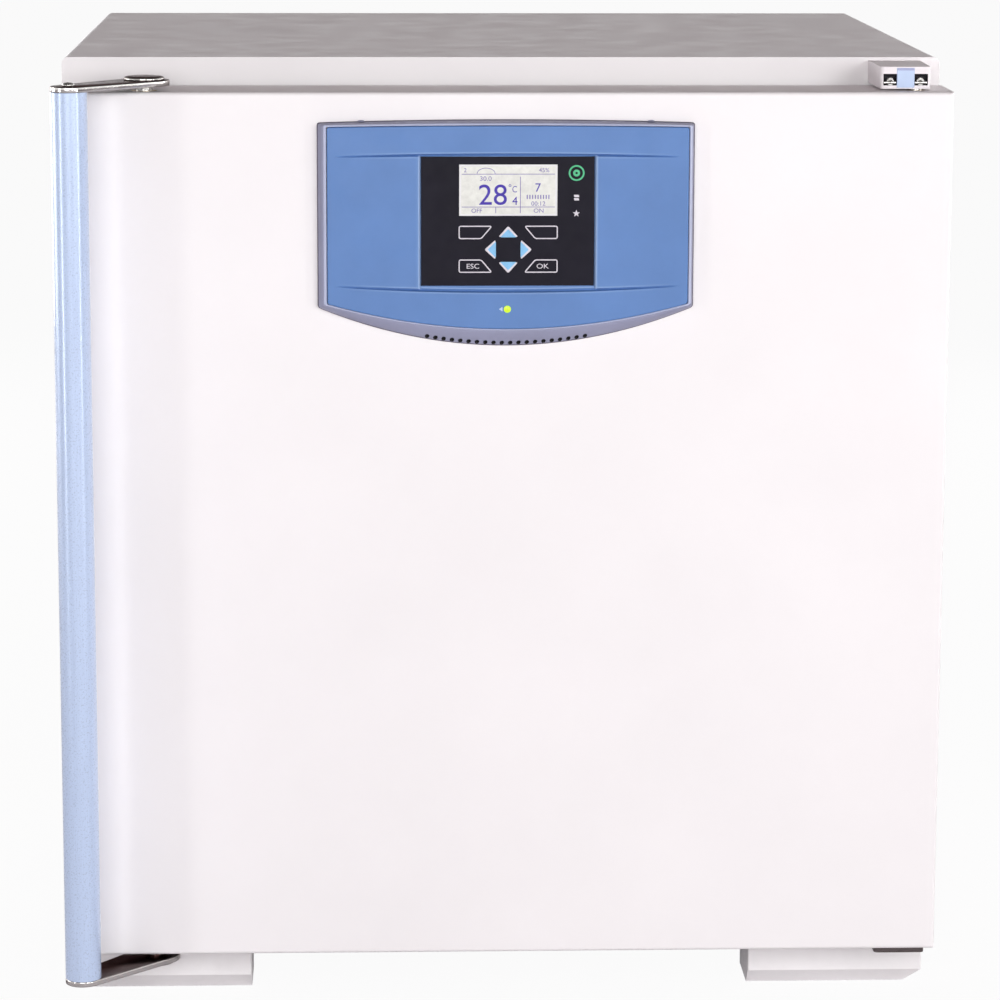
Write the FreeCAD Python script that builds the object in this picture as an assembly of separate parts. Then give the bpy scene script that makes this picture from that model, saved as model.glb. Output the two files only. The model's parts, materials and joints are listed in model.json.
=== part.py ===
import FreeCAD, Part
import math
import os

# Bench-top hot-air sterilizer: an insulated cabinet on four feet, one door hinged on the right
# and a full-height bar handle on the left that turns about a latch shaft inside the door.
# Millimetres. +Z is up, the door faces -Y, +X is to the right of someone who faces the door.
# The origin is the middle of the floor area, on the surface that the feet stand on.

V = FreeCAD.Vector

# Cabinet
cabinet_width = 620.0
casing_height = 635.5
casing_sheet = 2.0
casing_edge_radius = 5.0
rear_lip_width = 16.0
rear_lip_inset = 3.0
rear_recess = 17.0
tray_sheet = 2.0
rear_service_gap = 20.5

# Feet
foot_height = 44.5
foot_width = 128.0
foot_depth = 60.0
foot_front_reach = 12.0
foot_chamfer = 12.0
foot_edge_radius = 1.5

# Door
door_height = 615.0
door_depth = 61.0
door_air_gap = 11.0
door_lift = 1.5
door_skin = 2.0
door_edge_radius = 2.5
inner_panel_sheet = 1.5
plateau_height = 6.0
plateau_margin = 6.0
plateau_corner_radius = 10.0
gasket_width = 14.0
gasket_gap = 3.0
gasket_clearance = 0.3
gasket_lip = 4.7
gasket_groove_depth = 3.0
inner_screw_side_inset = 12.0
inner_screw_end_inset = 14.0
inner_screw_length = 10.0
wool_clearance = 2.0
wool_from_pivot = 35.0

# Chamber
side_wall = 110.0
chamber_height = 350.0
chamber_depth = 390.0
chamber_above_base = 80.0
liner_sheet = 1.5
plenum_depth = 40.0
rear_insulation = 38.0
top_insulation = 60.0
board_tray_sheet = 2.0

# Shelves and their racks
rail_count = 4
rail_pitch = 75.0
first_rail_height = 48.0
rail_ledge = 18.0
rail_drop = 8.0
rail_sheet = 1.5
rail_end_clearance = 20.0
rack_strip_width = 14.0
shelf_side_gap = 10.0
shelf_end_gap = 27.5
shelf_frame_radius = 3.0
shelf_corner_radius = 15.0
shelf_wire_radius = 1.75
shelf_wire_count = 15
shelf_rest_gap = 0.2
shelf_bar_from_middle = 82.0
shelf_bar_sink = 0.35
shelf_rail_numbers = (0, 2)

# Hinges
hinge_from_side = 24.0
hinge_behind_front = 21.0
pin_radius = 4.0
lower_pin_length = 24.0
pin_in_block = 12.0
pin_end_gap = 2.0
running_fit = 0.05
seat_fit = 0.02
hinge_bush_radius = 7.0
hinge_bush_length = 20.0
bush_collar = 3.0
bush_collar_height = 3.0
thrust_gap = 0.2
block_width_front = 34.7
block_width_back = 36.9
block_from_side = 15.1
block_height = 15.2
block_set_back = 11.0
block_corner_radius = 3.0
block_slot_width = 31.0
block_slot_height = 8.0
block_slot_above = 2.3
block_slot_depth = 5.0
insert_width = 12.4
insert_proud = 0.5
insert_margin = 0.8
insert_edge_radius = 0.8
hinge_screw_radius = 2.6
hinge_screw_from_centre = 10.5
hinge_screw_set_back = 1.2
hinge_screw_socket_radius = 1.3
hinge_screw_socket_depth = 1.6
lower_plate_sheet = 4.0
lower_plate_width = 36.0
lower_plate_front = 12.0
lower_plate_length = 102.0

# Handle
bar_radius = 12.5
bar_wall = 2.5
bar_end_wall = 6.0
bar_standoff = 40.0
lever_gap = 3.5
lever_sheet = 4.0
lever_pivot_radius = 17.5
lever_edge_radius = 0.8
pivot_from_side = 60.6
pivot_behind_front = 16.5
shaft_radius = 6.0
cap_radius = 14.0
cap_height = 4.0
cap_edge_radius = 1.0
shaft_bush_radius = 9.0
shaft_bush_length = 12.0
bar_screw_radius = 4.2
bar_screw_shank_radius = 2.1
bar_screw_grip = 5.0
bar_screw_height = 2.4

# Latch
crank_heights = (110.0, 520.0)
crank_sheet = 6.0
crank_hub_radius = 11.0
crank_end_radius = 4.5
crank_angle = 80.0
stud_radius = 4.0
stud_height = 14.0
stud_from_cabinet = 8.5
lock_plate_sheet = 2.5
lock_plate_width = 48.0
lock_plate_below = 16.0
lock_lip_clearance = 0.8
lock_lip_gap = 2.0
lock_lip_reach = 8.0
latch_slot_margin = 4.0
latch_turn = 35.0

# Control panel
rim_half_width = 130.5
rim_below_top = 18.5
rim_arch = 2.1
rim_side_foot = 149.0
rim_sag = 26.8
rim_proud = 9.0
rim_chamfer = 2.0
rim_corner_radius = 3.0
face_left = -123.7
face_right = 126.1
face_below_top = 22.2
face_arch = 1.1
face_side_foot = 145.7
face_sag = 17.6
face_proud = 10.0
face_sheet = 6.0
face_ledge = 4.0
face_edge_radius = 1.0
scoop_top = 42.0
scoop_foot = 134.9
scoop_depth = 2.2
scoop_reach = 52.0
scoop_flat = 1.0
keypad_left = -58.9
keypad_right = 60.8
keypad_top = 43.6
keypad_foot = 133.0
keypad_seat = 0.9
keypad_sheet = 1.0
display_left = -32.6
display_right = 35.3
display_top = 49.0
display_foot = 84.5
display_below_face = 0.4
led_x = 0.8
led_below_top = 149.1
led_radius = 2.5
led_proud = 0.4
vent_count = 20
vent_pitch = 5.8
vent_radius = 1.4
vent_depth = 6.0
vent_above_edge = 2.0
cutout_margin = 14.0
board_width = 200.0
board_height = 84.0
board_sheet = 1.6
chip_size = (26.0, 3.0, 18.0)
chip_places = ((-50.0, 10.0), (0.0, -14.0), (48.0, 16.0))
standoff_radius = 3.0
standoff_length = 16.0
standoff_inset = 6.0
panel_pocket = 26.0

# Fan, heater and probes
motor_radius = 42.0
motor_length = 44.0
motor_hole_gap = 4.0
motor_edge_radius = 3.0
motor_screw_depth = 7.0
shaft_fan_radius = 4.0
fan_shaft_hole_gap = 1.0
fan_shaft_depth_in_motor = 28.0
impeller_radius = 75.0
impeller_back_sheet = 1.5
impeller_blade_width = 24.0
impeller_blade_sheet = 1.5
impeller_blade_inner = 42.0
impeller_blade_count = 12
impeller_blade_lean = 25.0
impeller_hub_radius = 12.0
impeller_gap = 6.0
heater_ring_radius = 98.0
heater_tube_radius = 4.25
heater_open_angle = 40.0
heater_bend_radius = 12.0
heater_terminal_length = 8.0
baffle_sheet = 1.5
baffle_grille_radii = (30.0, 45.0, 60.0)
baffle_slot_count = 10
baffle_slot_width = 7.0
baffle_slot_share = 0.62
baffle_side_slot_count = 9
baffle_side_slot_insets = (14.0, 40.0)
baffle_side_slot_height = 20.0
baffle_side_slot_pitch = 32.0
baffle_stud_radius = 3.0
baffle_neck_radius = 1.5
baffle_stud_inset = 24.0
baffle_head_radius = 5.5
baffle_head_height = 2.5
probe_radius = 2.0
probe_reach = 45.0
probe_head_radius = 6.0
probe_head_height = 9.0
temperature_probe_at = (60.0, 120.0)
limiter_probe_at = (-60.0, 120.0)

# Exhaust
exhaust_x = 140.0
exhaust_above_centre = 120.0
exhaust_radius = 25.0
exhaust_wall = 2.0
exhaust_step = 0.6
exhaust_inset = 1.0
flap_sheet = 1.5
flap_gap = 0.4
flap_sleeve_radius = 4.0
spindle_radius = 2.0
spindle_foot = 3.0
spindle_end_gap = 1.0
flap_before_panel = 11.0
actuator_size = (34.0, 20.0, 44.0)
actuator_bore_depth = 10.0
actuator_gap = 0.4

# Rear fittings
inlet_from_side = 110.0
fittings_above_base = 90.0
inlet_flange = (50.0, 30.0)
inlet_body = (28.0, 21.0)
inlet_recess = (24.0, 16.0)
inlet_floor = 3.0
inlet_body_depth = 18.0
inlet_pin_places = ((-7.0, -2.0), (7.0, -2.0), (0.0, 2.0))
inlet_pin_size = (2.0, 4.0)
inlet_pin_below = 2.0
inlet_flange_sheet = 3.0
fuses_from_inlet = (50.0, 75.0)
fuse_flange_radius = 8.5
fuse_body_radius = 6.2
fuse_body_depth = 16.0
fuse_flange_sheet = 5.0
fuse_slot = (11.0, 1.6)
fuse_slot_depth = 1.5
socket_from_inlet = 120.0
socket_size = (17.0, 14.0)
socket_body_depth = 15.0
socket_recess = (13.0, 9.0)
socket_floor = 2.0
socket_flange_sheet = 1.5
socket_flange_margin = 3.0
cooling_slot_count = 14
cooling_slot_size = (5.0, 60.0)
cooling_slot_pitch = 11.0
screw_radius = 2.0
screw_head_radius = 3.6
screw_head_height = 2.2
rear_screw_count = 5
rear_screw_end_inset = 40.0
rear_screw_grip = 4.0
motor_screw_circle = 32.0

# Electronics above the chamber
power_board_size = (230.0, 150.0)
power_board_x = 100.0
power_board_y = 0.0
board_part_inset = 12.0
power_standoff_length = 8.0
transformer_size = (62.0, 54.0, 48.0)
relay_size = (20.0, 28.0, 16.0)
relay_count = 3
relay_gap = 10.0
heat_sink_size = (70.0, 36.0, 30.0)
limiter_size = (44.0, 36.0, 30.0)
limiter_at = (-150.0, 60.0)
limiter_spindle_radius = 3.0
limiter_spindle_length = 12.0

# Working allowances: how far a cutter runs past a face, and how deep joined pieces run into each other
past = 1.0
join = 0.5

# Places that follow from the sizes above
half_width = cabinet_width / 2
casing_depth = (chamber_depth + baffle_sheet + plenum_depth + liner_sheet + rear_insulation + rear_service_gap
                + tray_sheet + rear_recess + casing_sheet + rear_lip_inset)
bar_reach = bar_standoff + bar_radius
overall_depth = bar_reach + door_depth + door_air_gap + casing_depth
y_back = overall_depth / 2
y_cabinet = y_back - casing_depth
y_door_back = y_cabinet - door_air_gap
y_door = y_door_back - door_depth
z_base = foot_height
z_top = z_base + casing_height
z_door = z_base + door_lift
z_door_top = z_door + door_height
inner_half = half_width - casing_sheet
y_behind_frame = y_cabinet + tray_sheet
y_lip = y_back - rear_lip_inset - casing_sheet
y_panel_out = y_lip - rear_recess
y_panel_in = y_panel_out - tray_sheet

chamber_half = half_width - side_wall
z_chamber = z_base + chamber_above_base
z_chamber_top = z_chamber + chamber_height
z_fan = z_chamber + chamber_height / 2
y_baffle = y_cabinet + chamber_depth
y_plenum_back = y_baffle + baffle_sheet + plenum_depth
y_liner_back = y_plenum_back + liner_sheet
y_insulation_back = y_liner_back + rear_insulation
z_tray_top = z_base + tray_sheet
z_board_tray = z_chamber_top + liner_sheet + top_insulation
z_board_tray_top = z_board_tray + board_tray_sheet
z_casing_inner_top = z_top - casing_sheet

hinge_x = half_width - hinge_from_side
hinge_y = y_door + hinge_behind_front
pivot_x = -half_width + pivot_from_side
pivot_y = y_door + pivot_behind_front
bar_x = -half_width + bar_radius
bar_y = y_door - bar_standoff
z_lever_top = z_door_top + lever_gap
z_lever_foot = z_door - lever_gap
crank_z = [z_door + height for height in crank_heights]
crank_arm = (y_cabinet - stud_from_cabinet - pivot_y) / math.sin(math.radians(crank_angle))
stud_x = pivot_x + crank_arm * math.cos(math.radians(crank_angle))
stud_y = y_cabinet - stud_from_cabinet

y_motor = y_panel_in - motor_length
y_impeller_back = y_plenum_back - impeller_gap
y_heater = (y_baffle + baffle_sheet + y_plenum_back) / 2
heater_half_gap = math.radians(heater_open_angle / 2)
z_exhaust = z_fan + exhaust_above_centre
y_spindle = y_panel_in - flap_before_panel
exhaust_bore = exhaust_radius - exhaust_wall
exhaust_outer = exhaust_radius - exhaust_step
inlet_x = -half_width + inlet_from_side
fuse_x = [inlet_x + offset for offset in fuses_from_inlet]
socket_x = inlet_x + socket_from_inlet
z_fittings = z_base + fittings_above_base
x_panel_mid = (face_left + face_right) / 2
z_control_board = z_door_top - (keypad_top + keypad_foot) / 2
y_face = y_door - face_proud
y_keypad_seat = y_face + scoop_depth + keypad_seat
x_block = half_width - block_from_side - block_width_front / 2
y_block = y_door + block_set_back
z_block = z_door_top + door_lift


# Helpers
def block(x0, x1, y0, y1, z0, z1):
    """Box between two corners."""
    return Part.makeBox(x1 - x0, y1 - y0, z1 - z0, V(x0, y0, z0))


def plate_at(x, z, width, height, y0, y1):
    """Upright plate centred on x and z."""
    return block(x - width / 2, x + width / 2, y0, y1, z - height / 2, z + height / 2)


def rod(start, direction, radius, length):
    """Cylinder from a start point along a direction."""
    return Part.makeCylinder(radius, length, V(*start), V(*direction))


def upright(x, y, z0, z1, radius):
    """Vertical cylinder."""
    return rod((x, y, z0), (0, 0, 1), radius, z1 - z0)


def along_y(x, z, y0, y1, radius):
    """Cylinder that runs front to back."""
    return rod((x, y0, z), (0, 1, 0), radius, y1 - y0)


def edges_along(shape, axis, test):
    """Straight edges parallel to an axis whose middle passes the test."""
    found = []
    for edge in shape.Edges:
        if len(edge.Vertexes) != 2:
            continue
        run = edge.Vertexes[1].Point - edge.Vertexes[0].Point
        if run.Length > 0 and abs(run.dot(axis)) > 0.999 * run.Length and test(edge.CenterOfMass):
            found.append(edge)
    return found


def fuse_all(shapes):
    """One solid from overlapping or touching pieces."""
    return shapes[0].multiFuse(shapes[1:]).removeSplitter()


def link_plate(x0, y0, r0, x1, y1, r1, z0, z1):
    """Flat plate with two round ends of different radii, joined by straight sides."""
    along = V(x1 - x0, y1 - y0, 0)
    span = along.Length
    along.normalize()
    side = V(-along.y, along.x, 0)
    lean = (r0 - r1) / span
    rise = math.sqrt(1 - lean * lean)
    first = V(x0, y0, z0)
    last = V(x1, y1, z0)
    left = along * lean + side * rise
    right = along * lean - side * rise
    edges = [
        Part.LineSegment(first + left * r0, last + left * r1).toShape(),
        Part.Arc(last + left * r1, last + along * r1, last + right * r1).toShape(),
        Part.LineSegment(last + right * r1, first + right * r0).toShape(),
        Part.Arc(first + right * r0, first - along * r0, first + left * r0).toShape(),
    ]
    return Part.Face(Part.Wire(edges)).extrude(V(0, 0, z1 - z0))


def shield(left, right, top, arch, side_foot, sag, y_front, y_rear):
    """Upright plate with a gently arched top and a deeper arc below."""
    middle = (left + right) / 2
    corners = [V(left, y_front, top - arch), V(right, y_front, top - arch)]
    feet = [V(right, y_front, side_foot), V(left, y_front, side_foot)]
    edges = [
        Part.Arc(corners[0], V(middle, y_front, top), corners[1]).toShape(),
        Part.LineSegment(corners[1], feet[0]).toShape(),
        Part.Arc(feet[0], V(middle, y_front, side_foot - sag), feet[1]).toShape(),
        Part.LineSegment(feet[1], corners[0]).toShape(),
    ]
    return Part.Face(Part.Wire(edges)).extrude(V(0, y_rear - y_front, 0))


def bent_tube(path, radius, start, direction):
    """Tube of one radius carried along a wire of lines and arcs."""
    circle = Part.Wire(Part.makeCircle(radius, start, direction))
    return path.makePipeShell([circle], True, False)


def save(node, shapes):
    """Write one node, a single solid or a group of separate solids."""
    shape = shapes if isinstance(shapes, Part.Shape) else Part.makeCompound(shapes)
    print(node, len(shape.Solids), round(shape.Volume), shape.isValid())
    shape.exportStep("parts/" + node + ".step")


# Cabinet sheet metal
def outer_casing():
    """Top and sides in one bent sheet, with a lip behind for the rear panel."""
    outer = block(-half_width, half_width, y_cabinet, y_back, z_base, z_top)
    long_edges = edges_along(outer, V(0, 1, 0), lambda p: p.z > z_top - past)
    outer = outer.makeFillet(casing_edge_radius, long_edges)
    inner = block(-inner_half, inner_half, y_cabinet - past, y_back + past, z_base - past, z_casing_inner_top)
    inner_edges = edges_along(inner, V(0, 1, 0), lambda p: p.z > z_casing_inner_top - past)
    inner = inner.makeFillet(casing_edge_radius - casing_sheet, inner_edges)
    lip_half = half_width - rear_lip_width
    lip = block(-inner_half, inner_half, y_lip, y_lip + casing_sheet, z_base + tray_sheet,
                z_casing_inner_top)
    window = block(-lip_half, lip_half, y_lip - past, y_lip + casing_sheet + past, z_base - past,
                   z_top - rear_lip_width)
    screw_holes = rear_screw_bodies(y_lip - past, y_lip + casing_sheet + past, seat_fit)
    lip = lip.common(inner).cut([window] + screw_holes)
    return fuse_all([outer.cut(inner), lip])


def front_frame():
    """Flat ring around the chamber's mouth, inside the casing's front edge."""
    ring = block(-inner_half, inner_half, y_cabinet, y_behind_frame, z_base, z_casing_inner_top)
    corners = edges_along(ring, V(0, 1, 0), lambda p: p.z > z_casing_inner_top - past)
    ring = ring.makeFillet(casing_edge_radius - casing_sheet, corners)
    mouth = block(-chamber_half, chamber_half, y_cabinet - past, y_behind_frame + past, z_chamber,
                  z_chamber_top)
    return ring.cut(mouth)


def base_tray():
    """Floor sheet of the cabinet, with a folded edge behind that holds the rear panel's foot."""
    floor = block(-inner_half, inner_half, y_behind_frame, y_lip, z_base, z_tray_top)
    fold = block(-inner_half, inner_half, y_lip, y_lip + casing_sheet, z_base, z_tray_top)
    return fuse_all([floor, fold])


def rear_opening_tools():
    """Cutters for everything that passes through the pressed middle of the rear panel."""
    y0 = y_panel_in - past
    y1 = y_panel_out + past
    tools = [along_y(exhaust_x, z_exhaust, y0, y1, exhaust_outer + seat_fit)]
    tools.append(plate_at(inlet_x, z_fittings, inlet_body[0], inlet_body[1], y0, y1))
    for x in fuse_x:
        tools.append(along_y(x, z_fittings, y0, y1, fuse_body_radius + seat_fit))
    tools.append(plate_at(socket_x, z_fittings, socket_size[0], socket_size[1], y0, y1))
    for x, z in motor_screw_places():
        tools.append(along_y(x, z, y0, y1, screw_radius + seat_fit))
    z_slots = (z_board_tray_top + z_casing_inner_top) / 2
    for index in range(cooling_slot_count):
        x = (index - (cooling_slot_count - 1) / 2) * cooling_slot_pitch
        tools.append(plate_at(x, z_slots, cooling_slot_size[0], cooling_slot_size[1], y0, y1))
    return tools


def rear_panel():
    """Pressed sheet: a rim against the casing's lip, walls, and a middle that stands further in."""
    y_rim = y_lip - tray_sheet
    rim = block(-inner_half, inner_half, y_rim, y_lip, z_tray_top, z_casing_inner_top)
    corners = edges_along(rim, V(0, 1, 0), lambda p: p.z > z_casing_inner_top - past)
    rim = rim.makeFillet(casing_edge_radius - casing_sheet, corners)
    x_wall = half_width - rear_lip_width
    z_wall = z_top - rear_lip_width
    walls = block(-x_wall, x_wall, y_panel_in, y_lip, z_tray_top, z_wall)
    hollow = block(-x_wall + tray_sheet, x_wall - tray_sheet, y_panel_out, y_lip + past,
                   z_tray_top + tray_sheet, z_wall - tray_sheet)
    panel = fuse_all([rim, walls]).cut(hollow)
    return panel.cut(rear_opening_tools() + rear_screw_bodies(y_rim - past, y_lip + past, seat_fit))


def rear_screw_places():
    """Screw centres along both upright lips and the top lip."""
    from_side = (rear_lip_width + casing_sheet) / 2
    x_side = half_width - from_side
    z_low = z_base + rear_screw_end_inset
    z_high = z_top - rear_screw_end_inset
    places = []
    for index in range(rear_screw_count):
        z = z_low + (z_high - z_low) * index / (rear_screw_count - 1)
        places += [(-x_side, z), (x_side, z)]
    places += [(x, z_top - from_side) for x in (-half_width / 2, 0, half_width / 2)]
    return places


def rear_screw_bodies(y0, y1, extra):
    """Plain shanks at every rear screw, for the screws or for their holes."""
    return [along_y(x, z, y0, y1, screw_radius + extra) for x, z in rear_screw_places()]


def rear_screws():
    """Pan-head screws that hold the rear panel to the casing's lip."""
    y_head = y_lip + casing_sheet
    shanks = rear_screw_bodies(y_lip - tray_sheet - rear_screw_grip, y_head, 0)
    heads = [along_y(x, z, y_head, y_head + screw_head_height, screw_head_radius)
             for x, z in rear_screw_places()]
    return [fuse_all([shank, head]) for shank, head in zip(shanks, heads)]


# Feet
def foot(side, end):
    """Foot with its outer side and its outer end cut back below; side and end are -1 or 1."""
    x_out = side * half_width
    x_in = side * (half_width - foot_width)
    y_out = y_back if end > 0 else y_cabinet - foot_front_reach
    y_in = y_out - end * foot_depth
    body = block(min(x_out, x_in), max(x_out, x_in), min(y_out, y_in), max(y_out, y_in), 0, z_base)
    uprights = edges_along(body, V(0, 0, 1), lambda p: True)
    body = body.makeFillet(foot_edge_radius, uprights)
    reach = foot_chamfer * 2
    side_cut = wedge_along_y(x_out, side, min(y_out, y_in) - past, max(y_out, y_in) + past, reach)
    end_cut = wedge_along_x(y_out, end, min(x_out, x_in) - past, max(x_out, x_in) + past, reach)
    tools = [side_cut, end_cut]
    if side > 0 and end < 0:
        tools.append(lower_plate_blank())
    return body.cut(tools)


def wedge_along_y(x_out, side, y0, y1, reach):
    """Triangular cutter under an outer side, at 45 degrees."""
    low = -(reach - foot_chamfer)
    points = [V(x_out - side * reach, y0, low), V(x_out + side * reach, y0, low),
              V(x_out + side * reach, y0, foot_chamfer + reach), V(x_out, y0, foot_chamfer)]
    points.append(points[0])
    return Part.Face(Part.makePolygon(points)).extrude(V(0, y1 - y0, 0))


def wedge_along_x(y_out, end, x0, x1, reach):
    """Triangular cutter under an outer end, at 45 degrees."""
    low = -(reach - foot_chamfer)
    points = [V(x0, y_out - end * reach, low), V(x0, y_out + end * reach, low),
              V(x0, y_out + end * reach, foot_chamfer + reach), V(x0, y_out, foot_chamfer)]
    points.append(points[0])
    return Part.Face(Part.makePolygon(points)).extrude(V(x1 - x0, 0, 0))


# Chamber
def through_back_tools(y0, y1):
    """Cutters for the fan shaft, the exhaust tube and the heater's legs."""
    tools = [along_y(0, z_fan, y0, y1, shaft_fan_radius + fan_shaft_hole_gap)]
    tools.append(along_y(exhaust_x, z_exhaust, y0, y1, exhaust_outer + seat_fit))
    for x, z in heater_leg_places():
        tools.append(along_y(x, z, y0, y1, heater_tube_radius + seat_fit))
    return tools


def chamber_liner():
    """Stainless box with an open front that forms the chamber and the fan space behind it."""
    outer = block(-chamber_half - liner_sheet, chamber_half + liner_sheet, y_behind_frame, y_liner_back,
                  z_chamber - liner_sheet, z_chamber_top + liner_sheet)
    inner = block(-chamber_half, chamber_half, y_behind_frame - past, y_plenum_back, z_chamber, z_chamber_top)
    tools = [inner] + through_back_tools(y_plenum_back - past, y_liner_back + past)
    for x, y in (temperature_probe_at, limiter_probe_at):
        tools.append(upright(x, y, z_chamber_top - past, z_chamber_top + liner_sheet + past,
                             probe_radius + seat_fit))
    return outer.cut(tools)


def chamber_insulation():
    """Mineral wool that fills the cabinet round the liner, from the floor to the board tray."""
    outer = block(-inner_half, inner_half, y_behind_frame, y_insulation_back, z_tray_top, z_board_tray)
    tools = [block(-chamber_half - liner_sheet, chamber_half + liner_sheet, y_behind_frame - past,
                   y_liner_back, z_chamber - liner_sheet, z_chamber_top + liner_sheet)]
    tools += through_back_tools(y_liner_back - past, y_insulation_back + past)
    tools.append(along_y(0, z_fan, y_motor - motor_hole_gap, y_insulation_back + past,
                         motor_radius + motor_hole_gap))
    for x, y in (temperature_probe_at, limiter_probe_at):
        tools.append(upright(x, y, z_chamber_top, z_board_tray + past, probe_radius + seat_fit))
    return outer.cut(tools)


def shelf_rack(side):
    """Hanging side rack: two upright strips with folded rails; side is -1 or 1."""
    x_wall = side * chamber_half
    x_sheet = side * (chamber_half - rail_sheet)
    x_ledge = side * (chamber_half - rail_ledge)
    y0 = y_cabinet + rail_end_clearance
    y1 = y_baffle - rail_end_clearance
    z_last = z_chamber + first_rail_height + (rail_count - 1) * rail_pitch
    pieces = []
    for y in (y0 + rack_strip_width, y1 - 2 * rack_strip_width):
        pieces.append(block(min(x_wall, x_sheet), max(x_wall, x_sheet), y, y + rack_strip_width,
                            z_chamber, z_last + rail_drop))
    for index in range(rail_count):
        z = z_chamber + first_rail_height + index * rail_pitch
        pieces.append(block(min(x_wall, x_ledge), max(x_wall, x_ledge), y0, y1, z - rail_sheet, z))
        pieces.append(block(min(x_wall, x_sheet), max(x_wall, x_sheet), y0, y1, z - rail_drop, z))
    return fuse_all(pieces)


def wire_shelf(rail):
    """Wire grid with a round frame that lies on one pair of rails."""
    z = z_chamber + first_rail_height + rail * rail_pitch + shelf_rest_gap + shelf_frame_radius
    y_middle = (y_cabinet + y_baffle) / 2
    half_x = chamber_half - shelf_side_gap - shelf_frame_radius
    half_y = chamber_depth / 2 - shelf_end_gap - shelf_frame_radius
    turn = shelf_corner_radius
    spots = []
    for sx, sy in ((1, -1), (1, 1), (-1, 1), (-1, -1)):
        centre = V(sx * (half_x - turn), y_middle + sy * (half_y - turn), z)
        across = V(0, sy * turn, 0)
        along = V(sx * turn, 0, 0)
        first, second = (across, along) if sx * sy < 0 else (along, across)
        bulge = V(sx, sy, 0) * (turn / math.sqrt(2))
        spots.append((centre + first, centre + bulge, centre + second))
    edges = []
    for index, (start, middle, end) in enumerate(spots):
        edges.append(Part.Arc(start, middle, end).toShape())
        edges.append(Part.LineSegment(end, spots[(index + 1) % 4][0]).toShape())
    frame = bent_tube(Part.Wire(edges), shelf_frame_radius, spots[0][0], V(1, 0, 0))
    pieces = [frame]
    for index in range(shelf_wire_count):
        x = -half_x + 2 * half_x * (index + 1) / (shelf_wire_count + 1)
        pieces.append(along_y(x, z, y_middle - half_y, y_middle + half_y, shelf_wire_radius))
    z_bar = z + 2 * shelf_wire_radius - shelf_bar_sink
    for offset in (-shelf_bar_from_middle, shelf_bar_from_middle):
        pieces.append(rod((-half_x, y_middle + offset, z_bar), (1, 0, 0), shelf_wire_radius, 2 * half_x))
    return fuse_all(pieces)


# Air circulation and heating
def heater_leg_places():
    """Where the heater's two legs pass through the back, below the fan."""
    places = []
    for sign in (-1, 1):
        angle = -math.pi / 2 + sign * heater_half_gap
        along = V(-math.sin(angle), 0, math.cos(angle)) * (-sign)
        end = V(heater_ring_radius * math.cos(angle), 0, z_fan + heater_ring_radius * math.sin(angle))
        leg = end + along * heater_bend_radius
        places.append((leg.x, leg.z))
    return places


def heater_ring():
    """Tubular heating element: an open ring round the fan, both ends bent back to their terminals."""
    ends = []
    for sign in (-1, 1):
        angle = -math.pi / 2 + sign * heater_half_gap
        along = V(-math.sin(angle), 0, math.cos(angle)) * (-sign)
        end = V(heater_ring_radius * math.cos(angle), y_heater,
                z_fan + heater_ring_radius * math.sin(angle))
        turn = heater_bend_radius
        back = V(0, 1, 0)
        bulge = end + back * turn + (along - back) * (turn / math.sqrt(2))
        corner = end + (along + back) * turn
        tip = V(corner.x, y_insulation_back + heater_terminal_length, corner.z)
        ends.append((end, bulge, corner, tip))
    first, last = ends
    top = V(0, y_heater, z_fan + heater_ring_radius)
    edges = [
        Part.LineSegment(first[3], first[2]).toShape(),
        Part.Arc(first[2], first[1], first[0]).toShape(),
        Part.Arc(first[0], top, last[0]).toShape(),
        Part.Arc(last[0], last[1], last[2]).toShape(),
        Part.LineSegment(last[2], last[3]).toShape(),
    ]
    path = Part.Wire(edges)
    tube = bent_tube(path, heater_tube_radius, first[3], V(0, 1, 0))
    section = math.pi * heater_tube_radius ** 2
    print("heater volume to section times length", tube.Volume / (section * path.Length))
    return tube


def fan_motor():
    """Motor can with a blind bore for the turning shaft, its back against the rear panel."""
    can = along_y(0, z_fan, y_motor, y_panel_in, motor_radius)
    rims = [edge for edge in can.Edges if len(edge.Vertexes) == 1]
    can = can.makeFillet(motor_edge_radius, rims)
    bore = along_y(0, z_fan, y_motor - past, y_motor + fan_shaft_depth_in_motor + past,
                   shaft_fan_radius + running_fit)
    holes = [along_y(x, z, y_panel_in - motor_screw_depth - past, y_panel_in + past, screw_radius + seat_fit)
             for x, z in motor_screw_places()]
    return can.cut([bore] + holes)


def motor_screw_places():
    """Four screw centres on a circle round the fan's axis."""
    angles = [math.radians(45 + 90 * index) for index in range(4)]
    return [(motor_screw_circle * math.cos(a), z_fan + motor_screw_circle * math.sin(a)) for a in angles]


def motor_screws():
    """Four screws of the same kind through the rear panel into the motor."""
    screws = []
    for x, z in motor_screw_places():
        shank = along_y(x, z, y_panel_in - motor_screw_depth, y_panel_out, screw_radius)
        head = along_y(x, z, y_panel_out, y_panel_out + screw_head_height, screw_head_radius)
        screws.append(fuse_all([shank, head]))
    return screws


def fan_shaft():
    """Shaft from inside the motor through the liner's back to the impeller."""
    y_front = y_impeller_back - impeller_blade_width - impeller_back_sheet
    return along_y(0, z_fan, y_front, y_motor + fan_shaft_depth_in_motor, shaft_fan_radius)


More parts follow.
